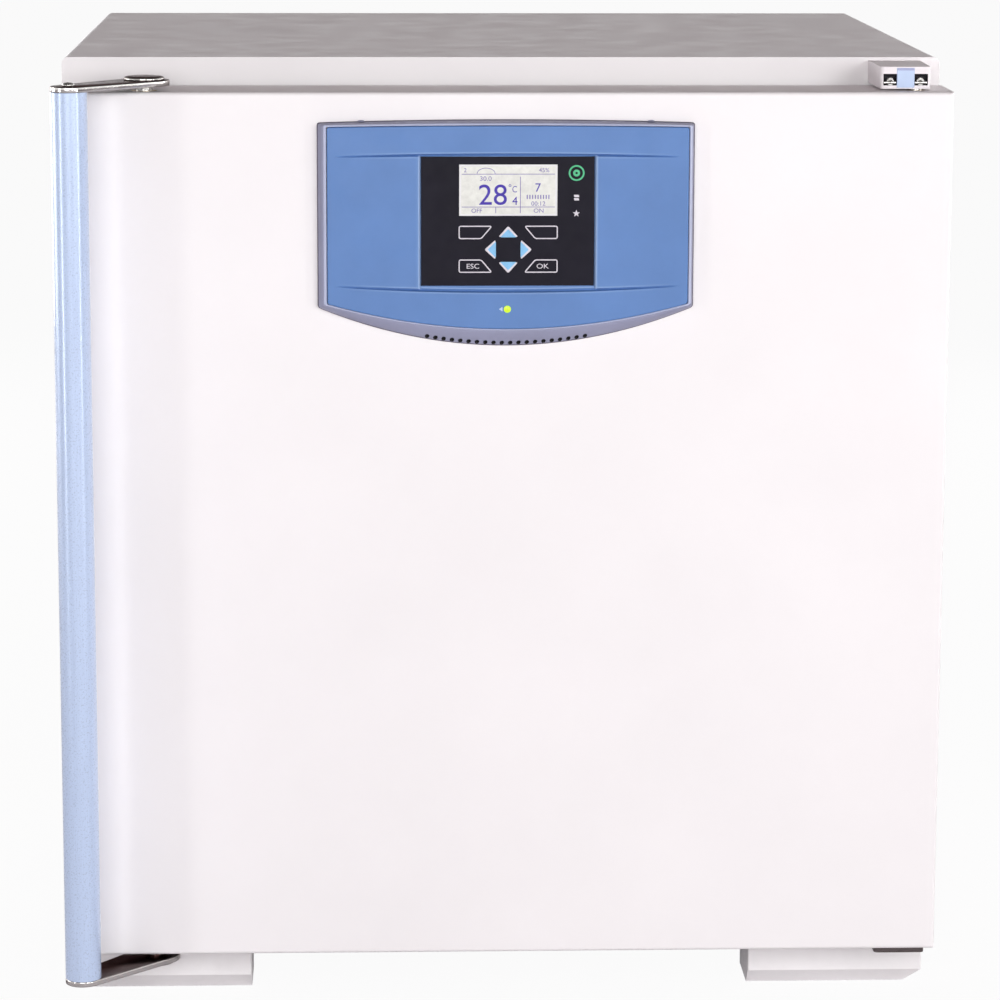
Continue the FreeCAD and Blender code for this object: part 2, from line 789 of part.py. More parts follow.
def fan_impeller():
    """Back disc with radial blades and a hub that is pressed on the shaft."""
    y_disc = y_impeller_back - impeller_back_sheet
    y_front = y_disc - impeller_blade_width
    pieces = [along_y(0, z_fan, y_disc, y_impeller_back, impeller_radius)]
    pieces.append(along_y(0, z_fan, y_front, y_impeller_back, impeller_hub_radius))
    for index in range(impeller_blade_count):
        blade = block(impeller_blade_inner, impeller_radius - past, y_front, y_disc + join,
                      z_fan - impeller_blade_sheet / 2, z_fan + impeller_blade_sheet / 2)
        blade.rotate(V(impeller_blade_inner, 0, z_fan), V(0, 1, 0), impeller_blade_lean)
        blade.rotate(V(0, 0, z_fan), V(0, 1, 0), 360 * index / impeller_blade_count)
        pieces.append(blade)
    bore = along_y(0, z_fan, y_front - past, y_impeller_back + past, shaft_fan_radius + seat_fit)
    disc_edge = along_y(0, z_fan, y_front - past, y_impeller_back + past, impeller_radius)
    return fuse_all(pieces).common(disc_edge).cut(bore)


def baffle_stud_places():
    """Corners where the air baffle is screwed to the liner's back."""
    x = chamber_half - baffle_stud_inset
    z = chamber_height / 2 - baffle_stud_inset
    return [(sx * x, z_fan + sz * z) for sx in (-1, 1) for sz in (-1, 1)]


def air_baffle():
    """Perforated sheet in front of the fan: suction slots in the middle, outlets along both sides."""
    sheet = block(-chamber_half, chamber_half, y_baffle, y_baffle + baffle_sheet, z_chamber, z_chamber_top)
    tools = []
    y0 = y_baffle - past
    y1 = y_baffle + baffle_sheet + past
    slot = 2 * math.pi / baffle_slot_count * baffle_slot_share
    for radius in baffle_grille_radii:
        for index in range(baffle_slot_count):
            cutter = plate_at(radius, z_fan, baffle_slot_width, radius * slot, y0, y1)
            cutter.rotate(V(0, 0, z_fan), V(0, 1, 0), 360 * index / baffle_slot_count)
            tools.append(cutter)
    for index in range(baffle_side_slot_count):
        z = z_fan + (index - (baffle_side_slot_count - 1) / 2) * baffle_side_slot_pitch
        for side in (-1, 1):
            for inset in baffle_side_slot_insets:
                x = side * (chamber_half - inset - baffle_slot_width)
                tools.append(plate_at(x, z, baffle_slot_width, baffle_side_slot_height, y0, y1))
    for x, z in baffle_stud_places():
        tools.append(along_y(x, z, y0, y1, baffle_neck_radius + seat_fit))
    return sheet.cut(tools)


def baffle_studs():
    """Spacers from the liner's back to the baffle, each with its screw head in front."""
    studs = []
    for x, z in baffle_stud_places():
        spacer = along_y(x, z, y_baffle + baffle_sheet, y_plenum_back, baffle_stud_radius)
        neck = along_y(x, z, y_baffle, y_baffle + baffle_sheet, baffle_neck_radius)
        head = along_y(x, z, y_baffle - baffle_head_height, y_baffle, baffle_head_radius)
        studs.append(fuse_all([spacer, neck, head]))
    return studs


def probe(place):
    """Thin rod through the chamber's ceiling, with its gland on the board tray."""
    x, y = place
    z_high = z_board_tray_top + probe_head_height
    stem = upright(x, y, z_chamber_top - probe_reach, z_high, probe_radius)
    gland = upright(x, y, z_board_tray_top, z_high, probe_head_radius)
    return fuse_all([stem, gland])


# Exhaust
def exhaust_tube():
    """Tube from the fan space out through the rear panel, with two holes for the flap's spindle."""
    y_end = y_back - exhaust_inset
    inside = along_y(exhaust_x, z_exhaust, y_plenum_back, y_panel_out, exhaust_outer)
    spigot = along_y(exhaust_x, z_exhaust, y_panel_out, y_end, exhaust_radius)
    tube = fuse_all([inside, spigot])
    bore = along_y(exhaust_x, z_exhaust, y_plenum_back - past, y_end + past, exhaust_bore)
    reach = exhaust_radius + past
    holes = upright(exhaust_x, y_spindle, z_exhaust - reach, z_exhaust + reach, spindle_radius + running_fit)
    return tube.cut([bore, holes])


def exhaust_flap():
    """Round plate with a sleeve across it, closed at rest."""
    disc = along_y(exhaust_x, z_exhaust, y_spindle - flap_sheet / 2, y_spindle + flap_sheet / 2,
                   exhaust_bore - flap_gap)
    reach = math.sqrt((exhaust_bore - flap_gap) ** 2 - flap_sleeve_radius ** 2)
    sleeve = upright(exhaust_x, y_spindle, z_exhaust - reach, z_exhaust + reach, flap_sleeve_radius)
    hole = upright(exhaust_x, y_spindle, z_exhaust - exhaust_radius, z_exhaust + exhaust_radius,
                   spindle_radius + seat_fit)
    return fuse_all([disc, sleeve]).cut(hole)


def flap_spindle():
    """Rod that turns the flap, from under the tube up into the actuator."""
    z_low = z_exhaust - exhaust_outer - spindle_foot
    z_high = z_exhaust + exhaust_outer + actuator_gap + actuator_bore_depth
    return upright(exhaust_x, y_spindle, z_low, z_high - spindle_end_gap, spindle_radius)


def flap_actuator():
    """Small gear motor that stands on the exhaust tube, against the rear panel."""
    z_low = z_exhaust + exhaust_outer + actuator_gap
    width, depth, height = actuator_size
    body = block(exhaust_x - width / 2, exhaust_x + width / 2, y_panel_in - depth, y_panel_in,
                 z_low, z_low + height)
    bore = upright(exhaust_x, y_spindle, z_low - past, z_low + actuator_bore_depth,
                   spindle_radius + running_fit)
    return body.cut(bore)


# Rear fittings
def mains_inlet():
    """Appliance inlet with its recess and three flat pins."""
    y_front = y_panel_in - inlet_body_depth
    y_rear = y_panel_out + inlet_flange_sheet
    flange = plate_at(inlet_x, z_fittings, inlet_flange[0], inlet_flange[1], y_panel_out, y_rear)
    body = plate_at(inlet_x, z_fittings, inlet_body[0], inlet_body[1], y_front, y_panel_out + join)
    recess = plate_at(inlet_x, z_fittings, inlet_recess[0], inlet_recess[1], y_front + inlet_floor,
                      y_rear + past)
    shell = fuse_all([flange, body]).cut(recess)
    pins = [plate_at(inlet_x + dx, z_fittings + dz, inlet_pin_size[0], inlet_pin_size[1],
                     y_front + inlet_floor - join, y_panel_out - inlet_pin_below)
            for dx, dz in inlet_pin_places]
    return fuse_all([shell] + pins)


def fuse_holders():
    """Two round fuse caps beside the inlet."""
    holders = []
    y_rear = y_panel_out + fuse_flange_sheet
    for x in fuse_x:
        cap = along_y(x, z_fittings, y_panel_out, y_rear, fuse_flange_radius)
        body = along_y(x, z_fittings, y_panel_in - fuse_body_depth, y_panel_out, fuse_body_radius)
        slot = plate_at(x, z_fittings, fuse_slot[0], fuse_slot[1], y_rear - fuse_slot_depth, y_rear + past)
        holders.append(fuse_all([cap, body]).cut(slot))
    return holders


def data_socket():
    """Network socket with an open recess."""
    width, height = socket_size
    y_front = y_panel_in - socket_body_depth
    y_rear = y_panel_out + socket_flange_sheet
    rim = 2 * socket_flange_margin
    flange = plate_at(socket_x, z_fittings, width + rim, height + rim, y_panel_out, y_rear)
    body = plate_at(socket_x, z_fittings, width, height, y_front, y_panel_out + join)
    recess = plate_at(socket_x, z_fittings, socket_recess[0], socket_recess[1], y_front + socket_floor,
                      y_rear + past)
    return fuse_all([flange, body]).cut(recess)


# Electronics above the chamber
def board_tray():
    """Sheet over the insulation that carries the electronics."""
    sheet = block(-inner_half, inner_half, y_behind_frame, y_insulation_back, z_board_tray,
                  z_board_tray_top)
    holes = []
    for x, y in (temperature_probe_at, limiter_probe_at):
        holes.append(upright(x, y, z_board_tray - past, z_board_tray_top + past, probe_radius + seat_fit))
    return sheet.cut(holes)


def power_board():
    """Board with a transformer, a heat sink and a row of relays."""
    width, depth = power_board_size
    x0 = power_board_x - width / 2
    y0 = power_board_y - depth / 2
    x1 = x0 + width
    y1 = y0 + depth
    z0 = z_board_tray_top + power_standoff_length
    z1 = z0 + board_sheet
    x_part = x0 + board_part_inset
    y_part = y0 + board_part_inset
    x_far = x1 - board_part_inset
    y_far = y1 - board_part_inset
    pieces = [block(x0, x1, y0, y1, z0, z1)]
    tx, ty, tz = transformer_size
    pieces.append(block(x_part, x_part + tx, y_part, y_part + ty, z1 - join, z1 + tz))
    hx, hy, hz = heat_sink_size
    pieces.append(block(x_far - hx, x_far, y_part, y_part + hy, z1 - join, z1 + hz))
    rx, ry, rz = relay_size
    for index in range(relay_count):
        x = x_far - index * (rx + relay_gap)
        pieces.append(block(x - rx, x, y_far - ry, y_far, z1 - join, z1 + rz))
    for x in (x0 + standoff_inset, x1 - standoff_inset):
        for y in (y0 + standoff_inset, y1 - standoff_inset):
            pieces.append(upright(x, y, z_board_tray_top, z0 + join, standoff_radius))
    return fuse_all(pieces)


def safety_limiter():
    """Over-temperature cut-out with its setting spindle, on the board tray."""
    x, y = limiter_at
    width, depth, height = limiter_size
    y_front = y - depth / 2
    body = block(x - width / 2, x + width / 2, y_front, y_front + depth, z_board_tray_top,
                 z_board_tray_top + height)
    spindle = along_y(x, z_board_tray_top + height / 2, y_front - limiter_spindle_length, y_front + join,
                      limiter_spindle_radius)
    return fuse_all([body, spindle])


# Hinges
def hinge_block_top():
    """Block on the front frame above the door, with a shallow slot across its front."""
    front = block_width_front / 2
    back = block_width_back / 2
    points = [V(x_block - back, y_cabinet, z_block), V(x_block + back, y_cabinet, z_block),
              V(x_block + front, y_block, z_block), V(x_block - front, y_block, z_block)]
    points.append(points[0])
    body = Part.Face(Part.makePolygon(points)).extrude(V(0, 0, block_height))
    body = body.makeFillet(block_corner_radius, edges_along(body, V(0, 0, 1), lambda p: p.y < y_block + past))
    z_slot = z_block + block_slot_above
    slot = block(x_block - block_slot_width / 2, x_block + block_slot_width / 2, y_block - past,
                 y_block + block_slot_depth, z_slot, z_slot + block_slot_height)
    seat = plate_at(x_block, z_block + block_height / 2, insert_width, block_height - 2 * insert_margin,
                    y_block - past, y_block + block_slot_depth)
    pin_hole = upright(hinge_x, hinge_y, z_block - past, z_block + pin_in_block, pin_radius + seat_fit)
    return body.cut([slot, seat, pin_hole])


def hinge_insert():
    """Coloured cover in the middle of the block's slot."""
    cover = plate_at(x_block, z_block + block_height / 2, insert_width, block_height - 2 * insert_margin,
                     y_block - insert_proud, y_block + block_slot_depth)
    return cover.makeFillet(insert_edge_radius, edges_along(cover, V(0, 0, 1), lambda p: p.y < y_block))


def hinge_screws():
    """Two screw heads that show in the slot, one each side of the insert."""
    z = z_block + block_slot_above + hinge_screw_radius
    y_head = y_block + hinge_screw_set_back
    screws = []
    for x in (x_block - hinge_screw_from_centre, x_block + hinge_screw_from_centre):
        head = along_y(x, z, y_head, y_block + block_slot_depth, hinge_screw_radius)
        socket = along_y(x, z, y_head - past, y_head + hinge_screw_socket_depth, hinge_screw_socket_radius)
        screws.append(head.cut(socket))
    return screws


def lower_plate_blank():
    """Plate under the door's corner that runs back under the cabinet."""
    y_front = hinge_y - lower_plate_front
    return block(hinge_x - lower_plate_width / 2, hinge_x + lower_plate_width / 2, y_front,
                 y_front + lower_plate_length, z_base - lower_plate_sheet, z_base)


def hinge_plate_bottom():
    """Lower hinge plate between the right front foot and the cabinet's floor."""
    plate = lower_plate_blank()
    corners = edges_along(plate, V(0, 0, 1), lambda p: p.y < hinge_y)
    plate = plate.makeFillet(block_corner_radius, corners)
    return plate.cut(upright(hinge_x, hinge_y, z_base - lower_plate_sheet - past, z_base + past,
                             pin_radius + seat_fit))


def hinge_pins():
    """Upper pin down from the block and lower pin up from the plate."""
    z_foot = z_door_top - hinge_bush_length + pin_end_gap
    upper = upright(hinge_x, hinge_y, z_foot, z_block + pin_in_block, pin_radius)
    z_plate = z_base - lower_plate_sheet
    lower = upright(hinge_x, hinge_y, z_plate, z_plate + lower_pin_length, pin_radius)
    return [upper, lower]


def hinge_bushes():
    """Collared bushes in the door's top and bottom, the lower one carries the door."""
    top_collar = z_door_top - door_skin - bush_collar_height
    top = [upright(hinge_x, hinge_y, z_door_top - hinge_bush_length, z_door_top, hinge_bush_radius),
           upright(hinge_x, hinge_y, top_collar, z_door_top - door_skin, hinge_bush_radius + bush_collar)]
    z_low = z_base + thrust_gap
    low_collar = z_door + door_skin
    low = [upright(hinge_x, hinge_y, z_low, z_low + hinge_bush_length, hinge_bush_radius),
           upright(hinge_x, hinge_y, low_collar, low_collar + bush_collar_height,
                   hinge_bush_radius + bush_collar)]
    bore = upright(hinge_x, hinge_y, z_base - past, z_door_top + past, pin_radius + running_fit)
    return [fuse_all(top).cut(bore), fuse_all(low).cut(bore)]


# Door
def latch_slot(z):
    """Opening in the inner panel behind one crank, for the stud and the locking plate's lip."""
    x0 = pivot_x - crank_arm * math.sin(math.radians(latch_turn - 90 + crank_angle)) - stud_radius
    x1 = stud_x + stud_radius + lock_lip_clearance + lock_lip_reach
    return block(x0 - latch_slot_margin, x1 + latch_slot_margin, y_door_back - plateau_height,
                 y_door_back + past, z - crank_sheet - latch_slot_margin, z + stud_height + latch_slot_margin)


def door_shell():
    """Painted pan, open behind, with the cutout for the panel's electronics."""
    outer = block(-half_width, half_width, y_door, y_door_back, z_door, z_door_top)
    rounded = edges_along(outer, V(0, 0, 1), lambda p: p.y < y_door + past)
    rounded += edges_along(outer, V(1, 0, 0), lambda p: p.y < y_door + past)
    outer = outer.makeFillet(door_edge_radius, rounded)
    inner = block(-half_width + door_skin, half_width - door_skin, y_door + door_skin, y_door_back + past,
                  z_door + door_skin, z_door_top - door_skin)
    cutout = block(face_left + cutout_margin, face_right - cutout_margin, y_door - past,
                   y_door + door_skin + past, z_door_top - face_side_foot,
                   z_door_top - face_below_top - cutout_margin)
    tools = [inner, cutout]
    for z0, z1 in ((z_door - past, z_door + door_skin + past),
                   (z_door_top - door_skin - past, z_door_top + past)):
        tools.append(upright(hinge_x, hinge_y, z0, z1, hinge_bush_radius + seat_fit))
        tools.append(upright(pivot_x, pivot_y, z0, z1, shaft_bush_radius + seat_fit))
    return outer.cut(tools)


def door_inner_panel():
    """Stainless sheet that closes the door, with a pressed plateau facing the chamber."""
    x = half_width - door_skin
    y_sheet = y_door_back - inner_panel_sheet
    sheet = block(-x, x, y_sheet, y_door_back, z_door + door_skin, z_door_top - door_skin)
    px = chamber_half - plateau_margin
    pz0 = z_chamber + plateau_margin
    pz1 = z_chamber_top - plateau_margin
    plateau = block(-px, px, y_sheet, y_door_back + plateau_height, pz0, pz1)
    corners = edges_along(plateau, V(0, 1, 0), lambda p: True)
    plateau = plateau.makeFillet(plateau_corner_radius, corners)
    hx = px - inner_panel_sheet
    hollow = block(-hx, hx, y_sheet - past, y_door_back + plateau_height - inner_panel_sheet,
                   pz0 + inner_panel_sheet, pz1 - inner_panel_sheet)
    corners = edges_along(hollow, V(0, 1, 0), lambda p: True)
    hollow = hollow.makeFillet(plateau_corner_radius - inner_panel_sheet, corners)
    panel = fuse_all([sheet, plateau]).cut(hollow)
    tools = [latch_slot(z) for z in crank_z]
    for x, z in inner_screw_places():
        tools.append(along_y(x, z, y_sheet - past, y_door_back + past, screw_radius + seat_fit))
    return panel.cut(tools)


def inner_screw_places():
    """Screws round the inner panel, clear of the gasket and the latch slots."""
    x = half_width - door_skin - inner_screw_side_inset
    z0 = z_door + inner_screw_end_inset
    z1 = z_door_top - inner_screw_end_inset
    z_mid = (z0 + z1) / 2
    return [(-x, z0), (x, z0), (-x, z1), (x, z1), (0, z0), (0, z1), (-x, z_mid), (x, z_mid)]


def inner_panel_screws():
    """Flat-headed screws that hold the inner panel."""
    screws = []
    for x, z in inner_screw_places():
        shank = along_y(x, z, y_door_back - inner_screw_length, y_door_back, screw_radius)
        head = along_y(x, z, y_door_back, y_door_back + screw_head_height, screw_head_radius)
        screws.append(fuse_all([shank, head]))
    return screws


def door_insulation():
    """Wool slab between the skins, with a pocket for the electronics behind the control panel."""
    x0 = pivot_x + wool_from_pivot
    x1 = hinge_x - hinge_bush_radius - bush_collar - wool_clearance
    slab = block(x0, x1, y_door + door_skin, y_door_back - inner_panel_sheet, z_door + door_skin,
                 z_door_top - door_skin)
    pocket = block(face_left - wool_clearance, face_right + wool_clearance, y_door, y_door + panel_pocket,
                   z_door_top - face_side_foot - wool_clearance, z_door_top)
    y_tip = y_door_back - inner_screw_length - wool_clearance
    holes = [along_y(x, z, y_tip, y_door_back, screw_radius + wool_clearance)
             for x, z in inner_screw_places()]
    return slab.cut([pocket] + holes)


def door_gasket():
    """Silicone ring round the plateau that meets the front frame."""
    inner_x = chamber_half + gasket_gap
    outer_x = inner_x + gasket_width
    y1 = y_cabinet - gasket_clearance
    z0 = z_chamber - gasket_gap
    z1 = z_chamber_top + gasket_gap
    outer = block(-outer_x, outer_x, y_door_back, y1, z0 - gasket_width, z1 + gasket_width)
    outer = outer.makeFillet(gasket_width, edges_along(outer, V(0, 1, 0), lambda p: True))
    inner = block(-inner_x, inner_x, y_door_back - past, y1 + past, z0, z1)
    ring = outer.cut(inner)
    groove_out = gasket_width - gasket_lip
    y_groove = y1 - gasket_groove_depth
    wide_x = inner_x + groove_out
    wide = block(-wide_x, wide_x, y_groove, y1 + past, z0 - groove_out, z1 + groove_out)
    narrow_x = inner_x + gasket_lip
    narrow = block(-narrow_x, narrow_x, y_groove - past, y1 + 2 * past, z0 - gasket_lip, z1 + gasket_lip)
    return ring.cut(wide.cut(narrow))


# Control panel on the door
def panel_rim():
    """Housing ring with a ledge for the fascia and a row of vents along its lower edge."""
    y_front = y_door - rim_proud
    body = shield(-rim_half_width, rim_half_width, z_door_top - rim_below_top, rim_arch,
                  z_door_top - rim_side_foot, rim_sag, y_front, y_door)
    uprights = edges_along(body, V(0, 1, 0), lambda p: True)
    body = body.makeFillet(rim_corner_radius, uprights)
    front_edges = [edge for edge in body.Edges if abs(edge.CenterOfMass.y - y_front) < 0.01]
    body = body.makeChamfer(rim_chamfer, front_edges)
    pocket = face_outline(y_front - past, y_door - face_ledge)
    opening = block(face_left + cutout_margin, face_right - cutout_margin, y_front - past, y_door + past,
                    z_door_top - face_side_foot, z_door_top - face_below_top - cutout_margin)
    return body.cut([pocket, opening] + rim_vents(y_front))


def rim_vents(y_front):
    """Short round vents that follow the rim's lower arc."""
    sag_radius = (rim_half_width ** 2 + rim_sag ** 2) / (2 * rim_sag)
    z_low = z_door_top - rim_side_foot - rim_sag
    vents = []
    for index in range(vent_count):
        x = (index - (vent_count - 1) / 2) * vent_pitch
        z = z_low + sag_radius - math.sqrt(sag_radius ** 2 - x ** 2) + vent_above_edge
        vents.append(along_y(x, z, y_front - past, y_front + vent_depth, vent_radius))
    return vents


def face_outline(y0, y1):
    """The fascia's outline between two depths."""
    return shield(face_left, face_right, z_door_top - face_below_top, face_arch,
                  z_door_top - face_side_foot, face_sag, y0, y1)


def panel_fascia():
    """Coloured plate with a shallow scoop across it that deepens towards the keypad."""
    y_rear = y_face + face_sheet
    plate = face_outline(y_face, y_rear)
    front_edges = [edge for edge in plate.Edges if abs(edge.CenterOfMass.y - y_face) < 0.01]
    plate = plate.makeFillet(face_edge_radius, front_edges)
    y_deep = y_face + scoop_depth
    z_foot = z_door_top - scoop_foot
    x_left = keypad_left - scoop_flat
    x_right = keypad_right + scoop_flat
    points = [V(x_left - scoop_reach, y_face, z_foot), V(x_left, y_deep, z_foot), V(x_right, y_deep, z_foot),
              V(x_right + scoop_reach, y_face, z_foot), V(x_right + scoop_reach, y_face - past, z_foot),
              V(x_left - scoop_reach, y_face - past, z_foot)]
    points.append(points[0])
    scoop = Part.Face(Part.makePolygon(points)).extrude(V(0, 0, scoop_foot - scoop_top))
    seat = block(keypad_left, keypad_right, y_face - past, y_keypad_seat, z_door_top - keypad_foot,
                 z_door_top - keypad_top)
    led_hole = along_y(led_x, z_door_top - led_below_top, y_face - past, y_rear + past, led_radius + seat_fit)
    window = block(display_left, display_right, y_face - past, y_rear + past, z_door_top - display_foot,
                   z_door_top - display_top)
    return plate.cut([scoop, seat, led_hole, window])


def keypad():
    """Printed foil with an opening for the display."""
    y_front = y_keypad_seat - keypad_sheet
    foil = block(keypad_left, keypad_right, y_front, y_keypad_seat, z_door_top - keypad_foot,
                 z_door_top - keypad_top)
    window = block(display_left, display_right, y_front - past, y_keypad_seat + past,
                   z_door_top - display_foot, z_door_top - display_top)
    return foil.cut(window)


def display_window():
    """Clear-fronted display that fills the foil's opening."""
    y_front = y_keypad_seat - keypad_sheet + display_below_face
    return block(display_left, display_right, y_front, y_face + face_sheet, z_door_top - display_foot,
                 z_door_top - display_top)


def status_led():
    """Domed light pipe through the fascia."""
    body = along_y(led_x, z_door_top - led_below_top, y_face - led_proud, y_face + face_sheet, led_radius)
    tip = [edge for edge in body.Edges if len(edge.Vertexes) == 1 and edge.CenterOfMass.y < y_face]
    return body.makeFillet(led_proud, tip)


def control_board():
    """Board behind the fascia, carried by four standoffs."""
    y0 = y_face + face_sheet + standoff_length
    y1 = y0 + board_sheet
    width, depth, height = chip_size
    board = plate_at(x_panel_mid, z_control_board, board_width, board_height, y0, y1)
    chips = [plate_at(x_panel_mid + dx, z_control_board + dz, width, height, y1 - join, y1 + depth)
             for dx, dz in chip_places]
    return fuse_all([board] + chips)


def board_standoffs():
    """Four pillars between the fascia and the control board."""
    y0 = y_face + face_sheet
    dx = board_width / 2 - standoff_inset
    dz = board_height / 2 - standoff_inset
    y1 = y0 + standoff_length
    return [along_y(x_panel_mid + sx * dx, z_control_board + sz * dz, y0, y1, standoff_radius)
            for sx in (-1, 1) for sz in (-1, 1)]


# Handle and latch
def handle_bar():
    """Full-height tube with closed ends between the two levers."""
    outer = upright(bar_x, bar_y, z_lever_foot, z_lever_top, bar_radius)
    bore = upright(bar_x, bar_y, z_lever_foot + bar_end_wall, z_lever_top - bar_end_wall,
                   bar_radius - bar_wall)
    holes = upright(bar_x, bar_y, z_lever_foot - past, z_lever_top + past, bar_screw_shank_radius + seat_fit)
    return outer.cut([bore, holes])


def lever(z0, z1):
    """Steel link from the bar to the latch shaft."""
    plate = link_plate(bar_x, bar_y, bar_radius, pivot_x, pivot_y, lever_pivot_radius, z0, z1)
    rims = [edge for edge in plate.Edges if abs(edge.CenterOfMass.z - z0) < 0.01
            or abs(edge.CenterOfMass.z - z1) < 0.01]
    plate = plate.makeFillet(lever_edge_radius, rims)
    return plate.cut([upright(pivot_x, pivot_y, z0 - past, z1 + past, shaft_radius + seat_fit),
                      upright(bar_x, bar_y, z0 - past, z1 + past, bar_screw_shank_radius + seat_fit)])


def latch_shaft():
    """Upright shaft through the whole door, flush with the outer faces of both levers."""
    return upright(pivot_x, pivot_y, z_lever_foot - lever_sheet, z_lever_top + lever_sheet, shaft_radius)


def shaft_bushes():
    """Collared bushes for the latch shaft in the door's top and bottom."""
    bushes = []
    for z0, z_collar in ((z_door_top - shaft_bush_length, z_door_top - door_skin - bush_collar_height),
                         (z_door, z_door + door_skin)):
        z1 = z0 + shaft_bush_length
        body = upright(pivot_x, pivot_y, z0, z1, shaft_bush_radius)
        ring = upright(pivot_x, pivot_y, z_collar, z_collar + bush_collar_height,
                       shaft_bush_radius + bush_collar)
        bore = upright(pivot_x, pivot_y, z0 - past, z1 + past, shaft_radius + running_fit)
        bushes.append(fuse_all([body, ring]).cut(bore))
    return bushes


def latch_cranks():
    """Two cranks clamped on the shaft, each with an upright stud at its end."""
    cranks = []
    for z in crank_z:
        arm = link_plate(pivot_x, pivot_y, crank_hub_radius, stud_x, stud_y, crank_end_radius,
                         z - crank_sheet, z)
        stud = upright(stud_x, stud_y, z - crank_sheet, z + stud_height, stud_radius)
        bore = upright(pivot_x, pivot_y, z - crank_sheet - past, z + past, shaft_radius + seat_fit)
        cranks.append(fuse_all([arm, stud]).cut(bore))
    return cranks


def locking_plates():
    """Plate on the front frame behind each stud, with a hooked lip beside the stud."""
    plates = []
    x_lip = stud_x + stud_radius + lock_lip_clearance
    x_right = x_lip + lock_lip_reach
    y_lip_back = stud_y - stud_radius - lock_lip_clearance
    for z in crank_z:
        z_lip = z + lock_lip_gap
        z_high = z + stud_height
        base = block(x_right - lock_plate_width, x_right, y_cabinet - lock_plate_sheet, y_cabinet,
                     z - lock_plate_below, z_high)
        y_hook = y_lip_back - lock_plate_sheet
        web = block(x_right - lock_plate_sheet, x_right, y_hook, y_cabinet, z_lip, z_high)
        hook = block(x_lip, x_right, y_hook, y_lip_back, z_lip, z_high)
        plates.append(fuse_all([base, web, hook]))
    return plates


def pivot_caps():
    """Round covers over both ends of the latch shaft."""
    caps = []
    for z0, z_round in ((z_lever_top + lever_sheet, z_lever_top + lever_sheet + cap_height),
                        (z_lever_foot - lever_sheet - cap_height, z_lever_foot - lever_sheet - cap_height)):
        cap = upright(pivot_x, pivot_y, z0, z0 + cap_height, cap_radius)
        rims = [edge for edge in cap.Edges if abs(edge.CenterOfMass.z - z_round) < 0.01
                and len(edge.Vertexes) == 1]
        caps.append(cap.makeFillet(cap_edge_radius, rims))
    return caps


def bar_screws():
    """Screws through each lever into the bar's ends."""
    screws = []
    for z_face, way in ((z_lever_top + lever_sheet, 1), (z_lever_foot - lever_sheet, -1)):
        head = rod((bar_x, bar_y, z_face), (0, 0, way), bar_screw_radius, bar_screw_height)
        shank = rod((bar_x, bar_y, z_face), (0, 0, -way), bar_screw_shank_radius,
                    lever_sheet + bar_screw_grip)
        screws.append(fuse_all([head, shank]))
    return screws


def build():
    """Write every node."""
    os.makedirs("parts", exist_ok=True)
    save("outer_casing", outer_casing())
    save("front_frame", front_frame())
    save("base_tray", base_tray())
    save("rear_panel", rear_panel())
    save("rear_screws", rear_screws() + motor_screws())
    for name, side, end in (("front_left", -1, -1), ("front_right", 1, -1),
                            ("rear_left", -1, 1), ("rear_right", 1, 1)):
        save("foot_" + name, foot(side, end))
    save("chamber_liner", chamber_liner())
    save("chamber_insulation", chamber_insulation())
    save("shelf_rack_left", shelf_rack(-1))
    save("shelf_rack_right", shelf_rack(1))
    for name, rail in zip(("lower", "upper"), shelf_rail_numbers):
        save("wire_shelf_" + name, wire_shelf(rail))
    save("air_baffle", air_baffle())
    save("baffle_studs", baffle_studs())
    save("heater_ring", heater_ring())
    save("fan_motor", fan_motor())
    save("fan_shaft", fan_shaft())
    save("fan_impeller", fan_impeller())
    save("temperature_probe", probe(temperature_probe_at))
    save("limiter_probe", probe(limiter_probe_at))
    save("safety_limiter", safety_limiter())
    save("exhaust_tube", exhaust_tube())
    save("exhaust_flap", exhaust_flap())
    save("flap_spindle", flap_spindle())
    save("flap_actuator", flap_actuator())
    save("mains_inlet", mains_inlet())
    save("fuse_holders", fuse_holders())
    save("data_socket", data_socket())
    save("board_tray", board_tray())
    save("power_board", power_board())
    save("hinge_block_top", hinge_block_top())
    save("hinge_insert", hinge_insert())
    save("hinge_screws", hinge_screws())
    save("hinge_plate_bottom", hinge_plate_bottom())
    save("hinge_pins", hinge_pins())
    save("hinge_bushes", hinge_bushes())
    save("locking_plates", locking_plates())
    save("door_shell", door_shell())
    save("door_inner_panel", door_inner_panel())
    save("inner_panel_screws", inner_panel_screws())
    save("door_insulation", door_insulation())
    save("door_gasket", door_gasket())
    save("panel_rim", panel_rim())
    save("panel_fascia", panel_fascia())
    save("keypad", keypad())
    save("display_window", display_window())
    save("status_led", status_led())
    save("control_board", control_board())
    save("board_standoffs", board_standoffs())
    save("handle_bar", handle_bar())
    save("lever_top", lever(z_lever_top, z_lever_top + lever_sheet))
    save("lever_bottom", lever(z_lever_foot - lever_sheet, z_lever_foot))
    save("latch_shaft", latch_shaft())
    save("shaft_bushes", shaft_bushes())
    save("latch_cranks", latch_cranks())
    save("pivot_caps", pivot_caps())
    save("bar_screws", bar_screws())


build()
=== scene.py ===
import json
import math

import bpy
import numpy as np
from mathutils import Matrix, Vector


